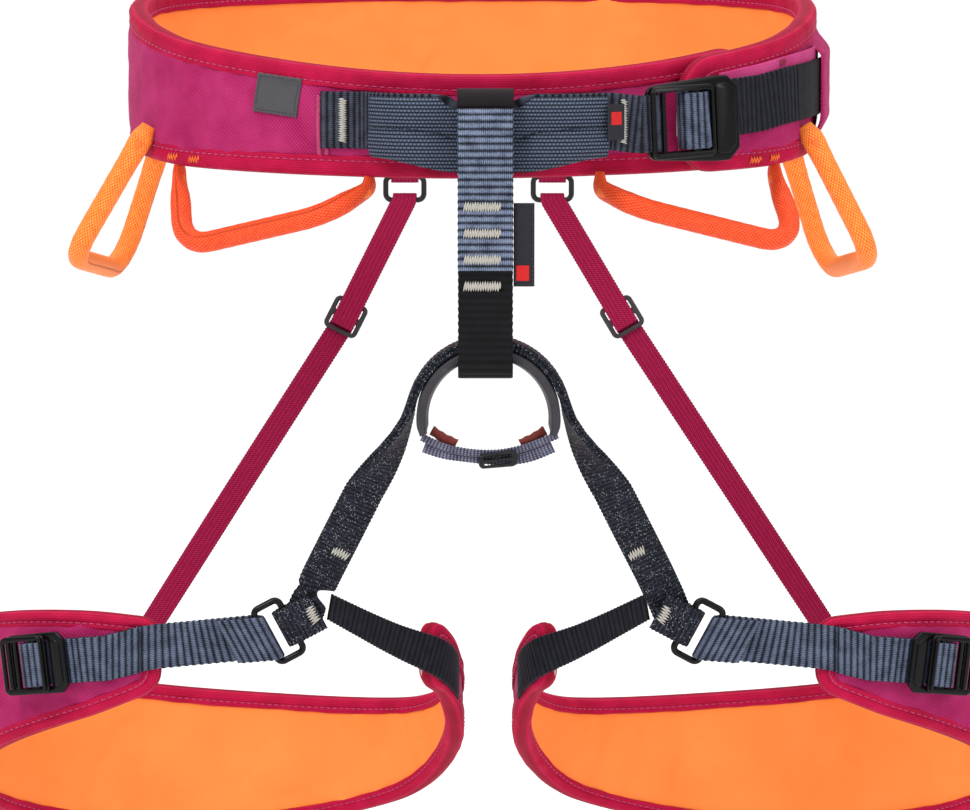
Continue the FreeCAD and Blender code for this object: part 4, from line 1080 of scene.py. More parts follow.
def cloth_offsets(pad, lip, pressure, slack, seed):
    """Sews the outside and inside of a pad into one bag, inflates it with cloth, and returns where both went.

    The bag is held where the edge tape is sewn down. Slack makes the fabric a little larger than the pad, so
    it wrinkles. What the simulation moves is capped at CLOTH_CAP, and both sides are then held at least half
    the pad's thickness off its middle."""
    inset = 1.5
    half = 3.3
    u, z, from_rim, h = envelope(pad, inset, half)
    free = smoothstep((from_rim - (lip - 2.0)) / 12.0)
    uneven = 0.5 * ripple(u, z * 1.3, seed)
    rows, columns = u.shape
    outside = pad.at(u, z, h + free * 0.35 * uneven)
    inside = pad.at(u, z, -h - free * 0.15 * uneven)
    ring = np.concatenate([outside, inside[:, ::-1]], axis=1)
    held = np.concatenate([free, free[:, ::-1]], axis=1).reshape(-1) <= 0.0
    moved = inflated(ring, bag_faces(rows, columns), held, pressure, slack) - ring
    distance = np.linalg.norm(moved, axis=-1, keepdims=True)
    capped = ring + moved * (np.tanh(distance / CLOTH_CAP) * CLOTH_CAP / np.maximum(distance, 1e-9))
    outside = capped[:, :columns]
    inside = capped[:, columns:][:, ::-1]
    normal = pad.axes(u[:, 0])[1][:, None]
    middle = pad.at(u, z, 0.0)
    above = np.sum((outside - middle) * normal, axis=-1, keepdims=True)
    below = np.sum((middle - inside) * normal, axis=-1, keepdims=True)
    outside = outside + normal * np.maximum(0.0, half - above)
    inside = inside - normal * np.maximum(0.0, half - below)
    return u, z, outside, inside


def slab(name, surface, back, u, z, h):
    """Closed layer of fabric between a shaped surface and a plain back."""
    rows, columns, _ = surface.shape
    ring = np.concatenate([surface, back[:, ::-1]], axis=1)
    faces = bag_faces(rows, columns)
    both_u = np.concatenate([u, u[:, ::-1]], axis=1)
    both_z = np.concatenate([z, z[:, ::-1]], axis=1)
    piece = new_object(name, ring.reshape(-1, 3), faces, strands(both_u, both_z, h).reshape(-1, 3))
    smoother = piece.modifiers.new("Smooth", "SUBSURF")
    smoother.levels = 1
    smoother.render_levels = 1
    bpy.context.view_layer.update()
    mesh = bpy.data.meshes.new_from_object(piece.evaluated_get(bpy.context.evaluated_depsgraph_get()))
    piece.modifiers.clear()
    piece.data = mesh
    mesh.name = name
    return piece


def pad_covers(prefix, pad, lip, seed, pressure=3.0, slack=0.02):
    """Outer shell and lining of a pad, shaped by cloth."""
    u, z, outside, inside = cloth_offsets(pad, lip, pressure, slack, seed)
    shell = slab(prefix + "_shell", outside, pad.at(u, z, 2.95), u, z, 1.0)
    lining = slab(prefix + "_lining", inside, pad.at(u, z, -2.8), u, z, -1.0)
    return shell, lining


def skin(*pieces):
    """Lookup of the surface of some pieces."""
    vertices, faces = [], []
    for piece in pieces:
        base = len(vertices)
        vertices += [v.co.copy() for v in piece.data.vertices]
        faces += [[base + i for i in p.vertices] for p in piece.data.polygons]
    return BVHTree.FromPolygons(vertices, faces)


def rest_on(surface, local, points, lift):
    """Moves points along their frame's h axis until they lie lift above a surface."""
    flat = np.reshape(points, (-1, 3))
    lift = np.broadcast_to(lift, np.shape(points)[:-1]).reshape(-1)
    down = Vector(-local.h)
    rested = []
    for point, gap in zip(flat, lift):
        hit = surface.ray_cast(Vector((point + local.h * 15.0) * MM), down, 0.03)[0]
        rested.append(point if hit is None else np.array(hit) / MM + local.h * gap)
    return np.reshape(rested, np.shape(points))


def waist_belt():
    pad = Pad(waist_plan, waist_top, waist_bottom, TONGUE_ANGLE, TIP_ANGLE, WAIST_END_RADIUS, tongue_shift)
    shell, lining = pad_covers("waist", pad, WAIST_LIP, seed=1)
    finished(shell, "waist_belt", "magenta", "magenta_twill", "waist_outer_shell")
    finished(lining, "waist_belt", "lining", "orange_lining", "waist_lining")
    tape = binding("waist_binding", pad, WAIST_LIP, seed=2)
    surface = skin(shell, tape)
    finished(tape, "waist_belt", "crimson", "crimson_binding", "waist_upper_binding", "waist_lower_binding")
    stitches = binding_stitches("waist_binding_stitches", pad, WAIST_LIP, (1, -1))
    finished(stitches, "waist_belt", "pink_thread", "crimson_binding")
    for node, look in (("waist_foam_core", "foam"), ("load_webbing_upper", "load"),
                       ("load_webbing_lower", "load")):
        paint(node, look)
    return surface


def paint(node, look):
    """Gives a CAD node that is kept its material."""
    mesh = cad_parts[node].data
    mesh.materials.clear()
    mesh.materials.append(LOOKS[look])


def leg_loop(name, side):
    body = f"leg_loop_{name}"
    pad = Pad(leg_plan(side), lambda a: eased(LEG_TOP, a), lambda a: eased(LEG_BOTTOM, a), LEG_START,
              LEG_STOP,
              LEG_END_RADIUS)
    shell, lining = pad_covers(f"leg_{name}", pad, LEG_LIP, seed=4 + side)
    finished(shell, body, "magenta", "magenta_twill", f"leg_outer_shell_{name}")
    finished(lining, body, "lining", "orange_lining", f"leg_lining_{name}")
    tape = binding(f"leg_{name}_binding", pad, LEG_LIP, seed=7 + side)
    finished(tape, body, "crimson", "crimson_binding", f"leg_binding_{name}")
    stitches = binding_stitches(f"leg_{name}_binding_stitches", pad, LEG_LIP, (1, -1))
    finished(stitches, body, "pink_thread", "crimson_binding")
    paint(f"leg_foam_core_{name}", "foam")
    leg_buckle(name, side, body)
    inner_strap(name, side, body)


def on_leg(side, angle, offset, z):
    point, normal = leg_plan(side)(np.asarray(float(angle)))
    return point + normal * offset + Z_AXIS * z


# ---------------------------------------------------------------- tie-in point
def tie_in_path():
    ends = [on_waist(a, BELT_TO_TIE, 0) for a in (-34.5, -31.0, -27.5)]
    front = [(-48.0, -122.5), (-40.5, -131.0), (-31.0, -135.2), (-20.0, TIE_FRONT_Y),
             (-TIE_DIP_HALF, TIE_FRONT_Y),
             (0.0, TIE_FRONT_Y), (TIE_DIP_HALF, TIE_FRONT_Y), (22.0, TIE_FRONT_Y), (34.0, -134.6),
             (45.0, -130.2),
             (55.0, -124.2)]
    return smooth_path(ends + [vec(x, y, 0) for x, y in front])


def tie_dip(x):
    return TIE_DIP * (1 - smoothstep((np.abs(x - BELAY_X) - TIE_DIP_HALF) / 8.0))


def buckle_frame():
    point, normal = waist_plan(np.asarray(WAIST_BUCKLE_ANGLE))
    origin = point + normal * BASE_OFFSET + Z_AXIS * WAIST_BUCKLE_Z
    level = np.cross(Z_AXIS, normal)
    tilt = math.radians(WAIST_BUCKLE_TILT)
    return Frame(origin, level * math.cos(tilt) + Z_AXIS * math.sin(tilt), Z_AXIS, normal)


def tie_frame(path, x, lift):
    k = int(np.clip(np.argmin(np.abs(path[:, 0] - x)), 1, len(path) - 2))
    along = unit(path[k + 1] - path[k - 1])
    out = np.cross(along, Z_AXIS)
    return Frame(path[k] + out * lift + Z_AXIS * (TIE_Z - tie_dip(path[k][0])), along, Z_AXIS, out)


def tie_in_webbing(local):
    path = tie_in_path()
    path = path + Z_AXIS * (TIE_Z - tie_dip(path[:, 0]))[:, None]
    bar_out = -WAIST_BUCKLE["length"] / 2
    bar_in = bar_out + WAIST_BUCKLE["narrow"]
    above = BASE_THICK + 0.4 + TIE_THICK / 2
    below = -0.4 - TIE_THICK / 2
    beyond = bar_in + 0.4 + TIE_THICK / 2
    fold = walk([(bar_out - 4.0, above, 0), (beyond, above, 1.7), (beyond, below, 1.7),
                 (bar_out - 3.0, below, 0)])
    folded = local.at(fold[:, 0], 0.0, fold[:, 1])
    whole = np.concatenate([path, folded])
    hints = np.concatenate([np.broadcast_to(Z_AXIS, path.shape), np.broadcast_to(local.w, folded.shape)])
    points, hints = sampled(whole, STATION, hints)
    points = blurred(points, 3)
    piece = webbing("tie_in_webbing", points, hints, TIE_WIDTH, TIE_THICK)
    finished(piece, "waist_belt", "tie", "navy_webbing", "tie_in_webbing")
    end = local.at(bar_out - 1.0, 0.0, above) * (1, 1, 0)
    start = tie_in_path()
    return np.concatenate([start, mix(start[-1], end, np.linspace(0.05, 1, 20)[:, None])])


def tie_in_sleeve(path):
    """Canvas pocket over the webbing: two soft halves either side of a sewn line, deepest in the middle."""
    inside = (path[:, 0] >= SLEEVE_X[0]) & (path[:, 0] <= SLEEVE_X[1])
    points = path[inside][::2]
    x = points[:, 0]
    share = (x - SLEEVE_X[0]) / (SLEEVE_X[1] - SLEEVE_X[0])
    ends = smoothstep(np.minimum(share, 1 - share) / 0.16)
    dip = tie_dip(x)
    top = -3.2 - 0.95 * dip
    low = -29.5 - 6.0 * smoothstep(np.minimum(share, 1 - share) / 0.36)
    seam = mix(top, low, 0.5 - 0.03 * ends)
    out = path_axes(points, Z_AXIS)[2]
    s = lengths(points)
    count = 11
    columns = []
    for high, foot, bulge in ((top, seam, 2.3), (seam, low, 3.0)):
        for k in range(count):
            t = k / (count - 1)
            z = mix(high, foot, t)
            round_off = (4 * t * (1 - t)) ** 0.62
            wrinkle = 0.22 * ripple(s * 1.4, z * 3.0, 5) * round_off
            columns.append((z, 2.5 + (bulge * round_off) * (0.55 + 0.45 * ends) + wrinkle))
    front = len(columns)
    for t in np.linspace(0, 1, 9):
        columns.append((mix(low, top, t), np.full(len(x), -2.6 - 0.5 * math.sin(math.pi * t))))
    rings = np.stack([points + Z_AXIS * z[:, None] + out * h[:, None] for z, h in columns], axis=1)
    v = np.stack([z if k < front else z * 0 + 40.0 for k, (z, _) in enumerate(columns)], axis=1)
    sleeve = lofted("tie_in_sleeve", rings, strands(s[:, None], v, 0.0))
    finished(sleeve, "waist_belt", "canvas", "canvas_sleeve", "tie_in_sleeve")
    pieces = []
    marks = np.arange(2.0, s[-1] - 3.0, 3.3)
    for m in marks:
        t = np.linspace(m, m + 2.3, 5)
        base = np.stack([np.interp(t, s, points[:, k]) for k in range(3)], axis=1)
        side = np.stack([np.interp(t, s, out[:, k]) for k in range(3)], axis=1)
        z = np.interp(t, s, seam)
        reach = (2.75 + 0.25 * np.sin(math.pi * (t - m) / 2.3))[:, None]
        pieces.append(base + Z_AXIS * z[:, None] + side * reach)
    row = thread("sleeve_stitches", pieces, 0.24)
    finished(row, "waist_belt", "navy_thread", "canvas_sleeve")


def bartack(name, frames, length, height, count, body, look, slot, *nodes, surface=None):
    """Bars of satin stitch; each frame gives a place, and a surface if they follow one."""
    paths = [zigzag(f, length, height, count) for f in frames]
    if surface is not None:
        paths = [rest_on(surface, f, p, 0.15 + (p - f.origin) @ f.h) for f, p in zip(frames, paths)]
    piece = thread(name, paths, 0.3)
    return finished(piece, body, look, slot, *nodes)


def turned(local):
    """The same place with its axes turned a quarter."""
    return Frame(local.origin, local.w, -local.s, local.h)


# ---------------------------------------------------------------- buckles
def buckle_sizes(kind, strap_width):
    half = kind["length"] / 2
    window = (-half + kind["narrow"], half - kind["wide"])
    bar = (-1.5, -1.5 + SLIDER_BAR)
    rail = (strap_width / 2 + 0.7, kind["width"] / 2 - 0.9)
    return half, window, bar, rail


def buckle(local, kind, strap_width, names, body, slider_body):
    """Base with a wide chamfered end, and the slider frame that locks the strap on it."""
    half, window, bar, rail = buckle_sizes(kind, strap_width)
    side = kind["width"] / 2
    wide = kind["wide_end"] / 2
    opening = strap_width / 2 + 0.5
    chamfer = kind["wide"] * 0.42
    outer = [(-half, -side + 0.4, 4.2), (half - kind["wide"], -wide, 3.0), (half - chamfer, -wide, 2.4),
             (half, -wide + chamfer, 2.4), (half, wide - chamfer, 2.4), (half - chamfer, wide, 2.4),
             (half - kind["wide"], wide, 3.0), (-half, side - 0.4, 4.2)]
    hole = rectangle(window[0], window[1], -opening, opening, 1.2)
    base = plate(names[0], local, outer, [hole], BASE_THICK, bevel=0.75)
    finished(base, body, "metal", "anodised_metal", names[0])
    crown = [(half - kind["wide"] + 0.8, -wide + 3.0, 2.2), (half - chamfer - 0.6, -wide + 3.0, 2.2),
             (half - 1.8, -wide + chamfer + 1.6, 2.2), (half - 1.8, wide - chamfer - 1.6, 2.2),
             (half - chamfer - 0.6, wide - 3.0, 2.2), (half - kind["wide"] + 0.8, wide - 3.0, 2.2)]
    dome = plate(names[0] + "_crown", local, crown, [], 1.5, bevel=0.7, lift=BASE_THICK - 0.7)
    finished(dome, body, "metal", "anodised_metal")
    start = -half + 3.2 + SLIDER_TRAVEL
    stop = window[1] - 0.6
    outline = rectangle(start, stop, -rail[1], rail[1], 2.4)
    holes = [rectangle(start + 2.0, bar[0], -rail[0], rail[0], 0.8),
             rectangle(bar[1], stop - 2.0, -rail[0], rail[0], 0.8)]
    slider = plate(names[1], local, outline, holes, SLIDER_THICK, bevel=0.7, lift=BASE_THICK + GAP)
    finished(slider, slider_body, "metal", "anodised_metal", names[1])
    edge = rectangle(-half + 0.2, stop - 0.6, -rail[1] - 0.3, rail[1] + 0.3, 3.4)
    middle = rectangle(-half + 2.4, stop - 2.2, -rail[0], rail[0], 1.0)
    hood = plate(names[1] + "_hood", local, edge, [middle], 1.9, bevel=0.8,
                 lift=BASE_THICK + GAP + SLIDER_THICK - 0.1)
    finished(hood, slider_body, "metal", "anodised_metal")


def fold_path(kind, run_out):
    """Strap path (s, h) round the slider bar, leaving below the wide end."""
    _, window, bar, _ = buckle_sizes(kind, 0.0)
    under = -STRAP_THICK / 2 - 0.6
    load = under - STRAP_THICK - 0.4
    fold = bar[0] - SLIDER_TRAVEL - 0.4 - STRAP_THICK / 2
    top = BASE_THICK + GAP + SLIDER_THICK + GAP + STRAP_THICK / 2
    drop = (bar[1] + window[1]) / 2
    return walk([(run_out, load, 0), (fold, load, 2.6), (fold, top, 2.6), (drop, top, 2.0),
                 (drop, under, 1.4),
                 (run_out, under, 0)])


def strap_piece(name, stations, thick, body, look, slot, *nodes, blur=4, spacing=STATION, **options):
    """Webbing through a list of (point, width direction, width)."""
    points = np.array([s[0] for s in stations])
    hints = np.array([unit(s[1]) for s in stations])
    widths = np.array([s[2] for s in stations], float)
    points, hints, widths = sampled(points, spacing, hints, widths)
    points = blurred(points, blur)
    hints = blurred(hints, blur)
    piece = webbing(name, points, hints, widths, thick, **options)
    return finished(piece, body, look, slot, *nodes)


def waist_strap(local):
    rise = [(54, -8.8), (64, -5.2), (79, -2.1), (100, 1.0)]

    def run(angles, offset, flare=0.0):
        stations = []
        for a in angles:
            lift = flare * smoothstep((a - 86.0) / 14.0)
            stations.append((on_waist(a, offset + lift, eased(rise, a)), Z_AXIS, WAIST_STRAP_WIDTH))
        return stations

    fold = fold_path(WAIST_BUCKLE, 24.0)
    folded = [(local.at(s, STRAP_RISE * max(0.0, s - 5.0), h), local.w, WAIST_STRAP_WIDTH) for s, h in fold]
    load = run([76, 72, 68, 64, 60, 57], BASE_OFFSET - 3.4)
    strap_piece("waist_strap", load + folded[:-1], STRAP_THICK, "waist_belt", "navy", "navy_webbing",
                "waist_strap")
    woven = run([57, 59, 61, 63, 65, 67.0], BASE_OFFSET - 1.4)
    strap_piece("waist_strap_run", folded[-2:] + woven, STRAP_THICK, "waist_belt", "night", "navy_webbing",
                blur=6)
    plain = run([67.2, 70, 72, 76, 80, 84, 88, 92, 96, 100], BASE_OFFSET - 1.4, 5.0)
    strap_piece("waist_strap_tail", plain, STRAP_THICK * 0.9, "waist_belt", "charcoal", "navy_webbing",
                pitch=1.5, depth=0.14)


def strap_keeper():
    """Fabric band across the belt that holds the strap's tail, with a folded front edge."""
    angles = np.linspace(76.6, 88.4, 26)
    heights = np.linspace(0, 1, 40)
    outer = np.zeros((len(angles), len(heights), 3))
    inner = np.zeros_like(outer)
    places = np.zeros_like(outer)
    for i, angle in enumerate(angles):
        strap_z = -1.8 + 0.15 * (angle - 80.0)
        high = waist_top(np.asarray(angle)) - 11.5
        low = waist_bottom(np.asarray(angle)) + 3.5
        edge = min(i, len(angles) - 1 - i)
        hem = 0.75 * math.exp(-((edge - 2.5) / 2.2) ** 2)
        z = mix(high, low, heights)
        reach = WAIST_STRAP_WIDTH / 2 + 1.2
        below = strap_z - reach - low
        room = np.where(z > strap_z, high - strap_z - reach, below)
        over = smoothstep((reach + room - np.abs(z - strap_z)) / room) ** 0.75
        base = PAD_HALF - 1.3
        crest = BASE_OFFSET - 1.4 + STRAP_THICK / 2 + 0.5
        sag = 0.35 * ripple(z * 1.3, z * 0 + angle * 3.0, 9)
        h = mix(base, crest, over) + sag * 0.5
        outer[i] = on_waist(np.full(len(z), angle), h + 0.75 + hem, z)
        inner[i] = on_waist(np.full(len(z), angle), h, z)
        places[i] = strands(angle * 2.25, z, 0.0)
    rings = np.concatenate([outer, inner[:, ::-1]], axis=1)
    piece = lofted("strap_keeper", rings, np.concatenate([places, places[:, ::-1]], axis=1))
    finished(piece, "waist_belt", "magenta", "magenta_twill", "strap_keeper")
    seams = []
    for i in (5, len(angles) - 6):
        for k in range(1, len(heights) - 2, 2):
            seams.append(mix(outer[i, k], outer[i, k + 1], np.linspace(-0.1, 0.9, 4)[:, None]) * 1.0)
    row = thread("keeper_stitches", seams, 0.25)
    finished(row, "waist_belt", "pink_thread", "magenta_twill")


def folded_strip():
    """Folded edge of shell fabric along the top of the strap, held by a small tack."""
    stations = []
    for angle in np.linspace(49.0, 79.0, 16):
        stations.append((on_waist(angle, PAD_HALF + 1.3,
                                  eased([(49, 2.4), (54, 4.6), (64, 8.6), (79, 12.4)], angle)),
                         Z_AXIS, 6.4))
    strap_piece("strap_strip", stations, 1.1, "waist_belt", "blush", "magenta_twill", pitch=40.0, depth=0.0)
    tack = belt_frame(63.5, PAD_HALF + 2.1, 9.6, tilt=14.0)
    bartack("strip_tack", [tack], 4.6, 2.8, 3, "waist_belt", "deep_thread", "magenta_twill")


def belt_frame(angle, lift, z, tilt=0.0):
    """Frame on the belt's outside, s towards the wearer's left at the front."""
    point, normal = waist_plan(np.asarray(float(angle)))
    level = np.cross(Z_AXIS, normal)
    along = level * math.cos(math.radians(tilt)) + Z_AXIS * math.sin(math.radians(tilt))
    return Frame(point + normal * lift + Z_AXIS * z, along, Z_AXIS, normal)


def patch(name, local, length, width, thick, look, slot, body, *nodes, sag=0.0, surface=None):
    """Thin woven label with a rolled hem and a slight curl."""
    rows, columns = 15, 13
    u = np.linspace(-length / 2, length / 2, rows)[:, None]
    v = np.linspace(-width / 2, width / 2, columns)[None]
    border = np.minimum(length / 2 - np.abs(u), width / 2 - np.abs(v))
    hem = thick * (0.75 + 0.35 * np.exp(-((border - 0.9) / 0.7) ** 2)) * smoothstep((border + 0.5) / 0.5)
    curl = sag * (2 * u / length) ** 2 + 0.12 * ripple(u * 3 + v, v * 3, 4)
    if surface is None:
        top = local.at(u + v * 0, v + u * 0, hem + curl)
        base = local.at(u + v * 0, v + u * 0, curl)
    else:
        flat = local.at(u + v * 0, v + u * 0, 0.0)
        top = rest_on(surface, local, flat, hem + 0.5)
        base = rest_on(surface, local, flat, 0.1)
    rings = np.concatenate([top, base[:, ::-1]], axis=1)
    flat = strands(u, v, 0.0)
    piece = lofted(name, rings, np.concatenate([flat, flat[:, ::-1]], axis=1))
    piece.data.set_sharp_from_angle(angle=math.radians(50))
    return finished(piece, body, look, slot, *nodes)


def border_stitches(name, local, length, width, lift, body, look, slot, pitch=1.9, surface=None):
    corners = [(-length / 2, -width / 2), (length / 2, -width / 2), (length / 2, width / 2),
               (-length / 2, width / 2)]
    route = sampled(np.array([(*c, 0.0) for c in corners + corners[:1]]), 0.3)[:, :2]
    step = int(pitch / 0.3)
    paths = []
    for k in range(0, len(route) - step, step):
        part = route[k:k + step - 1]
        t = np.linspace(0, 1, len(part))
        raised = lift + 0.15 * np.sin(math.pi * t)
        path = local.at(part[:, 0], part[:, 1], raised)
        paths.append(path if surface is None else rest_on(surface, local, path, raised))
    piece = thread(name, paths, 0.16, sides=5)
    finished(piece, body, look, slot)


def waist_details(path, surface):
    label = belt_frame(-42.9, PAD_HALF + 0.35, -3.6, tilt=-7.0)
    patch("waist_label_patch", label, 21.0, 17.0, 0.7, "grey_label", "grey_label", "waist_belt",
          "waist_label_patch",
          surface=surface)
    border_stitches("waist_label_stitches", label, 18.6, 14.6, 1.15, "waist_belt", "navy_thread",
                    "grey_label",
                    surface=surface)
    tag = tie_frame(path, 53.6, 5.5)
    patch("sleeve_tag", tag, 8.6, 15.5, 0.6, "dark_label", "dark_label", "waist_belt", "sleeve_tag")
    square = Frame(tag.at(0.0, 1.6, 0.55), tag.s, tag.w, tag.h)
    patch("sleeve_tag_square", square, 5.2, 5.6, 0.25, "red_label", "dark_label", "waist_belt")
    lift = TIE_THICK / 2 + 0.15
    bars = [turned(tie_frame(path, x, lift)) for x in (-62.0, 60.0)]
    bartack("waist_bartacks", bars, 19.0, 3.6, 19, "waist_belt", "cream", "bartack_thread", "waist_bartacks")
    dense = []
    for shift in (0.0, 1.5):
        dense.append(turned(belt_frame(-33.6 - shift, PAD_HALF - 0.15, -16.5)))
    bartack("belt_bartacks", dense, 26.0, 2.4, 34, "waist_belt", "pink_thread", "magenta_twill",
            surface=surface)
    marks = []
    for angle in (-59.5, -64.5, 57.5, 62.5, -101.0, -106.0, 101.0, 106.0):
        foot = float(waist_bottom(np.asarray(angle))) + 3.6
        marks.append(belt_frame(angle, PAD_HALF + 0.1, foot, tilt=4.0))
    bartack("gear_loop_bartacks", marks, 7.0, 3.0, 4, "waist_belt", "orange_thread", "orange_thread",
            "gear_loop_bartacks", surface=surface)


def leg_frame(side):
    point, normal = leg_plan(side)(np.asarray(LEG_BUCKLE_ANGLE))
    origin = point + normal * BASE_OFFSET + Z_AXIS * -258.5
    level = vec(-normal[1] * side, normal[0] * side, 0)
    return Frame(origin, level + Z_AXIS * -0.14, Z_AXIS, normal)


def bar_frame(side):
    """Frame at the rectangular ring's inner bar: s down the leg strap, w along the bar."""
    tilt = math.radians(BAR_TILT)
    return Frame(vec(MID_X + side * BAR_OUT, BAR_Y, BAR_Z), vec(side * math.cos(tilt), 0, -math.sin(tilt)),
                 Z_AXIS,
                 -Y_AXIS)


def leg_buckle(name, side, body):
    """Rectangular ring, strap and buckle at the front of a leg loop."""
    bar = bar_frame(side)
    wire = RECT_RING["wire"]
    half = RECT_RING["length"] / 2 - wire / 2
    across = RECT_RING["across"]
    corners = [(c[0], c[1], 2.6) for c in rectangle(0.0, across, -half, half)]
    u, v = closed_route(corners).T
    ring = rod(f"rect_ring_{name}", bar.at(u, v, 0.0), wire / 2, 14, bar.h)
    finished(ring, body, "metal", "anodised_metal", f"rect_ring_{name}")

    local = leg_frame(side)
    fold = wire * 0.75 + GAP + STRAP_THICK / 2
    width = LEG_STRAP_WIDTH

    def pad_run(angles, offset):
        return [(on_leg(side, a, offset, eased([(8, -248.5), (24, -255.2)], a)), Z_AXIS, width)
                for a in angles]

    tail = pad_run([13, 17, 21], BASE_OFFSET - 1.4)
    folded = [(local.at(-s, 0.0, h), local.w, width) for s, h in fold_path(LEG_BUCKLE, 24.0)][::-1]
    load = pad_run([21, 17, 13, 9], BASE_OFFSET - 3.4)
    centre = bar.at(across, 0.0, 0.0)
    pull = unit(load[-1][0] - centre)
    back = unit(np.cross(pull, bar.w))
    back = back * (1 if back[1] > 0 else -1)
    around = []
    for turn in np.radians(np.linspace(-90, 90, 9)):
        around.append((centre - pull * fold * math.cos(turn) - back * fold * math.sin(turn), bar.w, width))
    sewn = [(centre + pull * reach - back * fold, bar.w, width) for reach in (8.0, 17.0)]
    strap_piece(f"leg_strap_{name}", tail + folded + load + around + sewn, STRAP_THICK, body, "navy",
                "navy_webbing",
                f"leg_strap_{name}", blur=3, skew=True)
    mirrored = Frame(local.origin, -local.s, local.w, local.h)
    base_name = f"leg_buckle_base_{name}"
    slider_name = f"leg_buckle_slider_{name}"
    buckle(mirrored, LEG_BUCKLE, width, (base_name, slider_name), body, slider_name)


def inner_strap(name, side, body):
    start = vec(MID_X + side * 70.5, -96.5, -231.0)
    tip = on_leg(side, LEG_STOP - 3.0, PAD_HALF + 1.5, -263.0)
    path = [start, mix(start, tip, 0.35) - Z_AXIS * 0.8, mix(start, tip, 0.7) - Z_AXIS * 0.6, tip]
    for angle, lift, z in ((291, 1.2, -266.5), (286, 0.4, -271), (281, -1.2, -276), (276, -3.2, -280)):
        path.append(on_leg(side, angle, PAD_HALF + lift, z))
    points = smooth_path(path)
    t = lengths(points) / lengths(np.array(path))[3]
    widths = np.interp(t, [0, 0.3, 0.6, 0.9, 1.1], (12.0, 13.0, 14.5, 17.0, 18.0))
    lean = vec(side * 0.25, 0, 1)
    hints = mix(lean, Z_AXIS, np.clip(t * 1.5, 0, 1)[:, None])
    piece = webbing(f"leg_inner_strap_{name}", points, hints, widths, STRAP_THICK, pitch=2.2, depth=0.3)
    finished(piece, body, "night", "navy_webbing", f"leg_inner_strap_{name}")


# ---------------------------------------------------------------- gear loops
# angles round the belt at which the loops end, in degrees: the front ones, then the rear ones
GEAR_FRONT, GEAR_REAR = 25.5, 65.0
GEAR_NEAR = {RIGHT: 70.5, LEFT: 71.5}
GEAR_FAR = 103.0


def gear_loop_points(side, place):
    scale = WAIST_HALF_X[side] / WAIST_HALF_X[RIGHT] * side
    if place == "front":
        rear = on_waist(side * GEAR_REAR, 0, waist_bottom(GEAR_REAR) - GEAR_DROP)
        front = on_waist(side * GEAR_FRONT, 0, waist_bottom(GEAR_FRONT) - GEAR_DROP)
        low = vec((134.0 if side == RIGHT else 150.0) * scale, -84.0, -72.0)
        bend = vec(71.0 * scale, -115.0, -55.5 if side == RIGHT else -52.0)
        return [rear, low, bend, front], [15.0, 24.0]
    near = on_waist(side * GEAR_NEAR[side], PAD_HALF + 0.6 + GEAR_RADIUS, -25.5)
    far = on_waist(side * GEAR_FAR, 0, waist_bottom(GEAR_FAR) - GEAR_DROP)
    out = WAIST_HALF_X[side] - WAIST_HALF_X[RIGHT]
    return [near, vec(side * (186.0 + out), -46.0, -79.0), vec(side * (171.0 + out), 42.0, -92.0),
            far], [17.0, 17.0]


def arc_route(points, radii):
    """Straight runs joined by arcs, in space."""
    route = [points[0]]
    for before, corner, after, radius in zip(points, points[1:], points[2:], radii):
        route += corner_arc(before, corner, after, radius)
    route.append(points[-1])
    return np.array(route)


def gear_loop(name, side, place):
    body = f"gear_loop_{place}_{name}"
    points, radii = gear_loop_points(side, place)
    route = arc_route(points, radii)
    if place == "front":
        first = on_waist(side * GEAR_REAR, 0, waist_bottom(GEAR_REAR) + 2.0)
        last = on_waist(side * GEAR_FRONT, 0, waist_bottom(GEAR_FRONT) + 2.0)
    else:
        first = on_waist(side * GEAR_NEAR[side], PAD_HALF + 1.6, -19.5)
        last = on_waist(side * GEAR_FAR, 0, waist_bottom(GEAR_FAR) + 2.0)
    route = blurred(sampled(np.concatenate([[first], route, [last]]), 0.7), 7)
    s = lengths(route)
    near_end = np.minimum(s, s[-1] - s)
    flat = smoothstep((22.0 - near_end) / 16.0)
    tip = 0.35 * smoothstep((7.0 - near_end) / 7.0)
    sides = 28
    turn = np.linspace(0, 2 * math.pi, sides, endpoint=False)
    plane = unit(np.cross(route[len(route) // 3] - route[0], route[-1] - route[len(route) // 3]))
    _, across, out = path_axes(route, np.broadcast_to(plane, route.shape))
    wide = (GEAR_RADIUS * (0.95 - tip) + 0.4 * flat)[:, None]
    thin = (GEAR_RADIUS * (0.93 - 0.45 * flat - 0.5 * tip))[:, None]
    lobe = np.sin(s[:, None] / 2.1 + turn[None] * 7) * np.sin(s[:, None] / 2.1 - turn[None] * 7)
    w = np.cos(turn)[None] * wide * (1 + 0.018 * lobe)
    t = np.sin(turn)[None] * thin * (1 + 0.018 * lobe)
    rings = route[:, None] + w[..., None] * across[:, None] + t[..., None] * out[:, None]
    sheath = lofted(body + "_sheath", rings, strands(s[:, None], turn * GEAR_RADIUS, w * 0))
    # The front loops get the darker braid as painted shade under the belt, the rear loops the lighter one.
    finished(sheath, body, "sheath" if place == "rear" else "shaded_sheath", "orange_sheath", body + "_sheath")
    paint(body + "_core", "core")


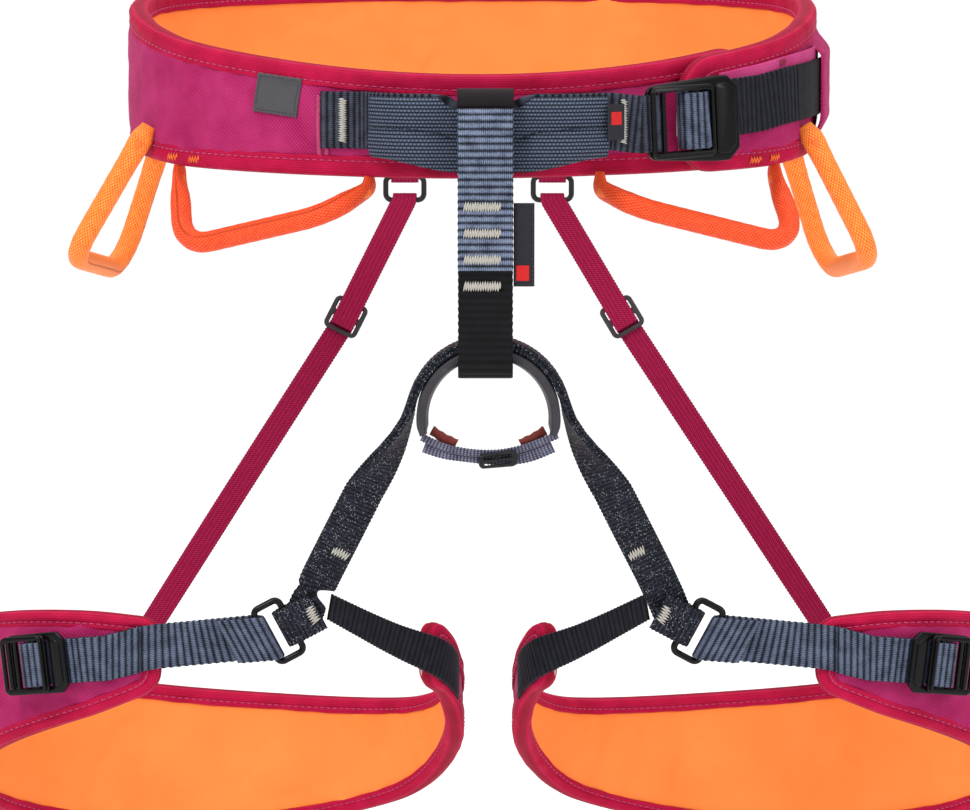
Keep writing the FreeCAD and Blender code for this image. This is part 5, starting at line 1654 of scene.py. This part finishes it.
# ---------------------------------------------------------------- belay loop
def belay_loop():
    y = TIE_FRONT_Y
    half = BELAY_HALF - BELAY_WALL / 2
    top = BELAY_TOP - BELAY_WALL / 2
    low = BELAY_BOTTOM + BELAY_WALL / 2
    corners = [(y - half, top, half - 0.01), (y + half, top, half - 0.01),
               (y + half, low, 7.0), (y - half, low, 7.0)]
    route = np.insert(closed_route(corners, STATION, 5.0), 0, BELAY_X, axis=1)
    loop = webbing("belay_loop", route, X_AXIS, BELAY_WIDTH, BELAY_WALL - 0.2, layers=3, closed=True,
                   depth=0.5)
    # Near-black loop below and lighter slate layer above: partly different webbings, partly painted shade
    # below and painted light on top, as light falls from above.
    finished(loop, "belay_loop", "black_webbing", "navy_webbing", "belay_loop")

    front = y - BELAY_HALF - 0.35
    over_top = [(y - half * math.cos(a) * 1.18, BELAY_TOP - BELAY_HALF + (BELAY_HALF + 0.35) * math.sin(a))
                for a in np.radians(np.linspace(58, 0, 14))]
    line = [vec(BELAY_X, u, v) for u, v in over_top]
    line += [vec(BELAY_X, front, z) for z in np.linspace(-22, BELAY_STEP_Z, 12)]
    points = blurred(sampled(np.array(line), STATION), 6)
    cover = webbing("belay_loop_layer", points, X_AXIS, BELAY_WIDTH + 0.3, 1.8, depth=0.55)
    finished(cover, "belay_loop", "slate", "navy_webbing")
    tacks = [Frame(vec(BELAY_X - 1.3, front - 0.75, z), X_AXIS, Z_AXIS, -Y_AXIS)
             for z in (-49.5, -60.9, -72.3, -83.7)]
    bartack("belay_bartacks", tacks, 15.8, 4.2, 15, "belay_loop", "cream", "bartack_thread", "belay_bartacks")

    cap_points = [(y - math.cos(a) * (half + 3.4), BELAY_TOP - BELAY_HALF + (BELAY_HALF + 1.2) * math.sin(a))
                  for a in np.radians(np.linspace(35, 118, 26))]
    cap_route = np.array([vec(BELAY_X, u, v) for u, v in cap_points])
    cap = webbing("belay_cap", cap_route, X_AXIS, BELAY_WIDTH + 0.9, 1.3, depth=0.0)
    finished(cap, "belay_loop", "cap", "navy_webbing")

    edge = BELAY_X + BELAY_WIDTH / 2 + 0.35
    tag = Frame(vec(edge + 4.5, y - BELAY_HALF + 2.4, -66.0), X_AXIS, Z_AXIS, -Y_AXIS)
    patch("indicator_label", tag, 9.0, 36.0, 0.9, "dark_label", "dark_label", "indicator_label",
          "indicator_label",
          sag=-0.5)
    square = Frame(tag.at(-0.6, -12.2, 0.62), X_AXIS, Z_AXIS, -Y_AXIS)
    patch("indicator_square", square, 5.6, 6.6, 0.3, "red_label", "dark_label", "indicator_label")
    border_stitches("indicator_stitches", tag, 7.4, 34.0, 0.78, "indicator_label", "navy_thread",
                    "dark_label")


# ---------------------------------------------------------------- leg bridge
def arm_stations(side):
    leave = math.radians(ARM_LEAVES_AT)
    outwards = vec(side * math.cos(leave), 0, math.sin(leave))
    start = vec(MID_X, TIE_FRONT_Y, RING_Z) + outwards * WEBBING_RADIUS
    bar = bar_frame(side)
    elbow = vec(MID_X + side * 77.0, -101.5, -222.0)
    approach = bar.at(-6.0, 0.0, -TAB_FOLD)
    stations = []
    for t in (0.06, 0.14, 0.22, 0.3, 0.4, 0.52, 0.66, 0.8, 0.92):
        twist = math.radians(90.0) * smoothstep((t - 0.04) / 0.66)
        drift = -2.4 * math.sin(math.pi * min(1.0, t / 0.5)) * smoothstep(t / 0.12)
        hint = -Y_AXIS * math.cos(twist) + outwards * math.sin(twist)
        stations.append((mix(start, elbow, t) + outwards * drift, hint, RING_BAND, BRIDGE_THICK))
    turning = mix(bar.w * side, outwards, 0.35)
    stations.append((mix(elbow, approach, 0.35), turning, RING_BAND, mix(TAB_THICK, BRIDGE_THICK, 0.5)))
    stations.append((approach, bar.w * side, RING_BAND, TAB_THICK))
    for a in np.radians(np.linspace(-90, 90, 9)):
        stations.append((bar.at(TAB_FOLD * math.cos(a), 0.0, TAB_FOLD * math.sin(a)), bar.w * side, RING_BAND,
                         TAB_THICK))
    stations.append((bar.at(-14.0, 0.0, TAB_FOLD), bar.w * side, RING_BAND, TAB_THICK))
    return stations


def ring_arc(radius, start, stop, spacing=0.5, y=TIE_FRONT_Y):
    a = np.radians(np.linspace(start, stop,
                               max(3, int(abs(stop - start) * math.pi / 180 * radius / spacing))))
    return np.stack([MID_X + radius * np.cos(a), a * 0 + y, RING_Z + radius * np.sin(a)], axis=1)


def leg_bridge():
    body = "leg_bridge"
    over = [(p, -Y_AXIS, RING_BAND, BRIDGE_THICK)
            for p in ring_arc(WEBBING_RADIUS, 180 - ARM_LEAVES_AT, ARM_LEAVES_AT, 5.0)]
    stations = arm_stations(RIGHT)[::-1] + over + arm_stations(LEFT)
    points = np.array([s[0] for s in stations])
    hints = np.array([unit(s[1]) for s in stations])
    sizes = np.array([s[2:] for s in stations], float)
    points, hints, sizes = sampled(points, STATION, hints, sizes)
    points = blurred(points, 6)
    hints = blurred(hints, 12)
    arms = webbing("bridge_webbing", points, hints, sizes[:, 0], sizes[:, 1], pitch=1.9, depth=0.3, layers=2)
    finished(arms, body, "bridge", "bridge_webbing", "bridge_webbing")

    tacks = []
    for side in SIDES.values():
        bar = bar_frame(side)
        tacks.append(turned(Frame(bar.at(-11.0, 0.0, TAB_FOLD + TAB_THICK / 2 + 0.2), bar.s, bar.w, bar.h)))
        leave = vec(side * math.cos(math.radians(ARM_LEAVES_AT)), 0, math.sin(math.radians(ARM_LEAVES_AT)))
        start = vec(MID_X, TIE_FRONT_Y, RING_Z) + leave * WEBBING_RADIUS
        elbow = vec(MID_X + side * 77.0, -101.5, -222.0)
        middle = mix(start, elbow, 0.80) - leave * 3.0
        down = unit(elbow - start)
        facing = unit(-Y_AXIS - down * (-Y_AXIS @ down))
        sideways = unit(np.cross(down, facing))
        tacks.append(Frame(middle + facing * (BRIDGE_THICK / 2 + 0.15), sideways, down, facing))
    bartack("bridge_bartacks", tacks, 7.5, 4.6, 6, body, "cream", "bartack_thread", "bridge_bartacks")
    protector(body)
    keeper(body)


def protector(body):
    """Smooth plastic gutter that the belay loop and rope run in, with rolled lips."""
    inner, outer = PROTECTOR_RADII
    half = RING_BAND / 2 - 0.1
    profile = closed_outline([(inner + 1.6, -half, 1.4), (outer + 0.0, -half, 1.6), (outer, -half + 3.0, 0.8),
                              (outer - 1.2, -half + 4.4, 0.8), (outer - 1.2, half - 4.4, 0.8),
                              (outer, half - 3.0, 0.8),
                              (outer, half, 1.6), (inner + 1.6, half, 1.4), (inner, 0.0, 9.0)], 12.0)
    angles = np.radians(np.linspace(-14.0, 194.0, 110))
    ends = smoothstep(np.minimum(np.arange(110), np.arange(110)[::-1]) / 5.0)
    centre = profile.mean(axis=0)
    rings = []
    for a, full in zip(angles, ends):
        r = centre[0] + (profile[:, 0] - centre[0]) * (0.62 + 0.38 * full)
        y = centre[1] + (profile[:, 1] - centre[1]) * (0.86 + 0.14 * full)
        rings.append(np.stack([MID_X + r * math.cos(a), TIE_FRONT_Y + y, RING_Z + r * math.sin(a)], axis=1))
    rings = np.array(rings)
    strand = rings.copy()
    piece = lofted("abrasion_protector", rings, strand)
    finished(piece, body, "ring", "ring_plastic", "abrasion_protector")


def keeper(body):
    """Thin doubled strap that closes the ring's bottom, its ladder buckle and the two wear tabs."""
    y = TIE_FRONT_Y - 1.0
    base = [vec(MID_X - 28.0, y, -154.8), vec(MID_X - 20.0, y, -157.4), vec(MID_X - 11.0, y, -158.8),
            vec(MID_X + 18.0, y, -158.8), vec(MID_X + 23.0, y, -157.0), vec(MID_X + 28.0, y, -154.8)]
    points = smooth_path(base)
    strap = webbing("ring_keeper_strap", points, Z_AXIS, 5.2, 1.3, pitch=1.5, depth=0.2)
    finished(strap, body, "thin_strap", "keeper_webbing", "ring_keeper_strap")
    upper = [vec(MID_X - 29.0, y - 1.6, -150.5), vec(MID_X - 20.0, y - 1.7, -154.5),
             vec(MID_X - 8.0, y - 1.8, -157.2),
             vec(MID_X + 8.0, y - 1.9, -157.0), vec(MID_X + 20.0, y - 1.7, -153.6),
             vec(MID_X + 30.0, y - 1.4, -149.5)]
    second = webbing("ring_keeper_strap_upper", smooth_path(upper), vec(0, -0.35, 1), 3.6, 1.1, pitch=1.5,
                     depth=0.18)
    finished(second, body, "thin_strap", "keeper_webbing")

    local = Frame(vec(MID_X + 4.2, y - 3.4, -160.2), unit(vec(1, 0, 0.12)), Z_AXIS, -Y_AXIS)
    outer = [(-8.6, -3.0, 2.2), (8.6, -3.6, 2.8), (8.6, 3.6, 2.8), (-8.6, 3.0, 2.2)]
    slots = [rectangle(-6.2, -1.0, 0.6, 1.9, 0.4), rectangle(-6.2, 5.6, -1.9, -0.7, 0.4),
             rectangle(1.0, 6.0, 0.6, 2.0, 0.4)]
    ladder = plate("ring_keeper_buckle", local, outer, slots, 3.0, bevel=0.7, lift=-1.5)
    finished(ladder, "ring_keeper_buckle", "black", "black_plastic", "ring_keeper_buckle")

    tabs = []
    for side in SIDES.values():
        foot = vec(MID_X + side * 24.6, y - 0.2, -147.5)
        tip = vec(MID_X + side * 14.0, y - 1.0, -153.6)
        route = smooth_path([foot, mix(foot, tip, 0.5) + vec(0, -0.6, -0.5), tip])
        tabs.append(webbing("tab", route, vec(0, -0.5, 1), 5.2, 0.9, pitch=4.2, depth=0.16))
    wear = joined("wear_indicator_tabs", tabs)
    finished(wear, body, "rust", "keeper_webbing")


# ---------------------------------------------------------------- risers
def riser(name, side):
    drop = RISER_RING["height"] - RISER_RING["wire"]
    bar = vec(RISER_RING_X[side], RISER_Y, RISER_PIVOT_Z - drop)
    slider = RISER_SLIDER + X_AXIS * (MID_X - 2.0 + side * RISER_SLIDER_OUT)
    angle = RISER_ANCHOR_ANGLE
    anchor = on_leg(side, angle, PAD_HALF + 1.8, float(eased(LEG_TOP, angle)) - RISER_ANCHOR_BELOW_RIM)
    bend = RISER_RING["wire"] / math.sqrt(2) + GAP + RISER_THICK / 2
    apart = 1.6
    below = unit(slider - bar) * 5.0
    points = [slider + below - Y_AXIS * apart, slider - Y_AXIS * apart]
    hints = [X_AXIS, X_AXIS]
    for a in np.radians(np.linspace(0, 180, 9)):
        points.append(bar + vec(0, -bend * math.cos(a), bend * math.sin(a) + 0.4))
        hints.append(X_AXIS)
    points += [slider + Y_AXIS * apart, slider + below + Y_AXIS * apart, mix(slider, anchor, 0.5)]
    hints += [X_AXIS] * 3
    _, normal = leg_plan(side)(np.asarray(angle))
    along_pad = np.cross(Z_AXIS, normal)
    along_pad = along_pad * (1 if along_pad[0] > 0 else -1)
    points += [mix(slider, anchor, 0.93), anchor, anchor - Z_AXIS * 14.0]
    hints += [along_pad] * 3
    points, hints = sampled(np.array(points), 0.8, np.array(hints))
    points = blurred(points, 2)
    hints = blurred(hints, 14)
    strap = webbing(f"riser_strap_{name}", points, hints, RISER_WIDTH, RISER_THICK, pitch=1.6, depth=0.05)
    strap.data.materials.append(LOOKS["elastic"])
    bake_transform(strap)
    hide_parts(f"riser_strap_{name}")

    wire = RISER_RING["wire"]
    half = RISER_RING["length"] / 2 - wire / 2
    x = RISER_RING_X[side]
    high = RISER_PIVOT_Z
    corners = [(x - half, high - drop, 3.0), (x + half, high - drop, 3.0), (x + half, high, 3.0),
               (x - half, high, 3.0)]
    ring = rod(f"riser_ring_{name}", np.insert(closed_route(corners), 1, RISER_Y, axis=1), wire / 2, 12,
               Y_AXIS)
    finished(ring, f"riser_ring_{name}", "black", "black_plastic", f"riser_ring_{name}")

    local = Frame(slider, bar - slider, X_AXIS)
    facing = -Y_AXIS
    local.h = unit(facing - local.s * (local.s @ facing))
    half_w = RISER_WIDTH / 2 + 0.6
    outer = rectangle(-8.4, 8.4, -half_w - 2.3, half_w + 2.3, 3.0)
    frame_piece = plate(f"riser_slider_{name}", local, outer,
                        [rectangle(-6.4, -1.2, -half_w, half_w, 1.2),
                         rectangle(1.2, 6.4, -half_w, half_w, 1.2)], 2.2,
                        bevel=0.6, lift=-1.1)
    finished(frame_piece, f"riser_slider_{name}", "ring", "black_plastic", f"riser_slider_{name}")
    riser_tab(name, x)


def riser_tab(name, x):
    """Folded fabric tab that comes out below the belt and holds the ring."""
    rim = float(waist_bottom(180.0 - math.degrees(math.atan2(abs(x), WAIST_HALF_Y))))
    pivot = RISER_PIVOT_Z
    loop = [(RISER_Y - 1.0, rim + 1.5, 0), (RISER_Y - 2.6, pivot + 1.5, 2.0),
            (RISER_Y - 2.5, pivot - 2.6, 2.2),
            (RISER_Y + 2.5, pivot - 2.6, 2.2), (RISER_Y + 2.6, pivot + 1.5, 2.0),
            (RISER_Y + 1.0, rim + 1.5, 0)]
    route = walk(loop)
    points = sampled(np.column_stack([route[:, 0] * 0 + x, route]), 0.5)
    points = blurred(points, 2)
    tab = webbing(f"riser_tab_{name}", points, X_AXIS, 13.0, 1.0, pitch=1.6, depth=0.05)
    finished(tab, "waist_belt", "elastic", "magenta_twill", f"riser_tab_{name}")


# ---------------------------------------------------------------- studio
# place, target and size in metres, then the power in watts
LAMPS = {
    "key": ((-1.1, -1.6, 1.5), (0, 0, -0.12), (0.35, 1.0), 26),
    "fill": ((1.4, -1.4, 0.6), (0, 0, -0.15), (0.3, 1.2), 9),
    "top": ((0.1, 0.3, 1.8), (0, 0, -0.15), (1.6, 1.6), 10),
}
DOME_FLOOR, DOME_TOP = 0.22, 1.5   # light from below and from above
WHITE = (1, 1, 1, 1)
FLOOR_GREY = (0.96, 0.96, 0.96, 1)
FLOOR_SIZE = 60.0
FLOOR_DROP = 0.09
CAMERA_PLACE = (0, -2.2874, 0.0894)
CAMERA_TARGET = (0, 0, -0.151)
CAMERA_LENS = 184.76
SENSOR_WIDTH = 36.0
VIEW_END = 200.0


def aim(thing, place, target):
    """Puts a lamp or camera somewhere, turned towards a target."""
    thing.location = place
    thing.rotation_euler = (Vector(target) - thing.location).to_track_quat("-Z", "Y").to_euler()
    bpy.context.scene.collection.objects.link(thing)


def area_light(name, place, target, size, power):
    lamp = bpy.data.lights.new(name, "AREA")
    lamp.shape = "RECTANGLE"
    lamp.size, lamp.size_y = size
    lamp.energy = power
    aim(bpy.data.objects.new(name, lamp), place, target)


def studio_floor():
    lowest = cad_box[0][2]
    bpy.ops.mesh.primitive_plane_add(size=FLOOR_SIZE, location=(0, 0, lowest - FLOOR_DROP))
    floor = bpy.context.object
    floor.name = "studio_floor"
    look = bpy.data.materials.new("floor")
    look.use_nodes = True
    shader = look.node_tree.nodes["Principled BSDF"]
    shader.inputs["Base Color"].default_value = FLOOR_GREY
    shader.inputs["Roughness"].default_value = 0.9
    floor.data.materials.append(look)


def studio_dome():
    """World light that gets stronger from the floor to the top."""
    world = bpy.data.worlds.new("studio")
    world.use_nodes = True
    nodes = world.node_tree.nodes
    links = world.node_tree.links
    direction = nodes.new("ShaderNodeTexCoord")
    parts = nodes.new("ShaderNodeSeparateXYZ")
    dome = nodes.new("ShaderNodeMapRange")
    dome.inputs["To Min"].default_value = DOME_FLOOR
    dome.inputs["To Max"].default_value = DOME_TOP
    links.new(direction.outputs["Generated"], parts.inputs[0])
    links.new(parts.outputs[2], dome.inputs[0])
    links.new(dome.outputs[0], nodes["Background"].inputs["Strength"])
    nodes["Background"].inputs["Color"].default_value = WHITE
    bpy.context.scene.world = world


def studio():
    scene = bpy.context.scene
    studio_floor()
    studio_dome()
    for name, (place, target, size, power) in LAMPS.items():
        area_light(name, place, target, size, power)
    scene.view_settings.view_transform = "Standard"
    lens = bpy.data.cameras.new("camera")
    lens.sensor_width = SENSOR_WIDTH
    lens.lens = CAMERA_LENS
    lens.clip_end = VIEW_END
    camera = bpy.data.objects.new("camera", lens)
    aim(camera, CAMERA_PLACE, CAMERA_TARGET)
    scene.camera = camera


studio()
belt = waist_belt()
local = buckle_frame()
tie_path = tie_in_webbing(local)
tie_in_sleeve(tie_path)
waist_strap(local)
folded_strip()
strap_keeper()
buckle(local, WAIST_BUCKLE, WAIST_STRAP_WIDTH, ("waist_buckle_base", "waist_buckle_slider"), "waist_belt",
       "waist_buckle_slider")
waist_details(tie_path, belt)
belay_loop()
leg_bridge()
for side_name, side_sign in SIDES.items():
    for where in ("front", "rear"):
        gear_loop(side_name, side_sign, where)
    leg_loop(side_name, side_sign)
    riser(side_name, side_sign)
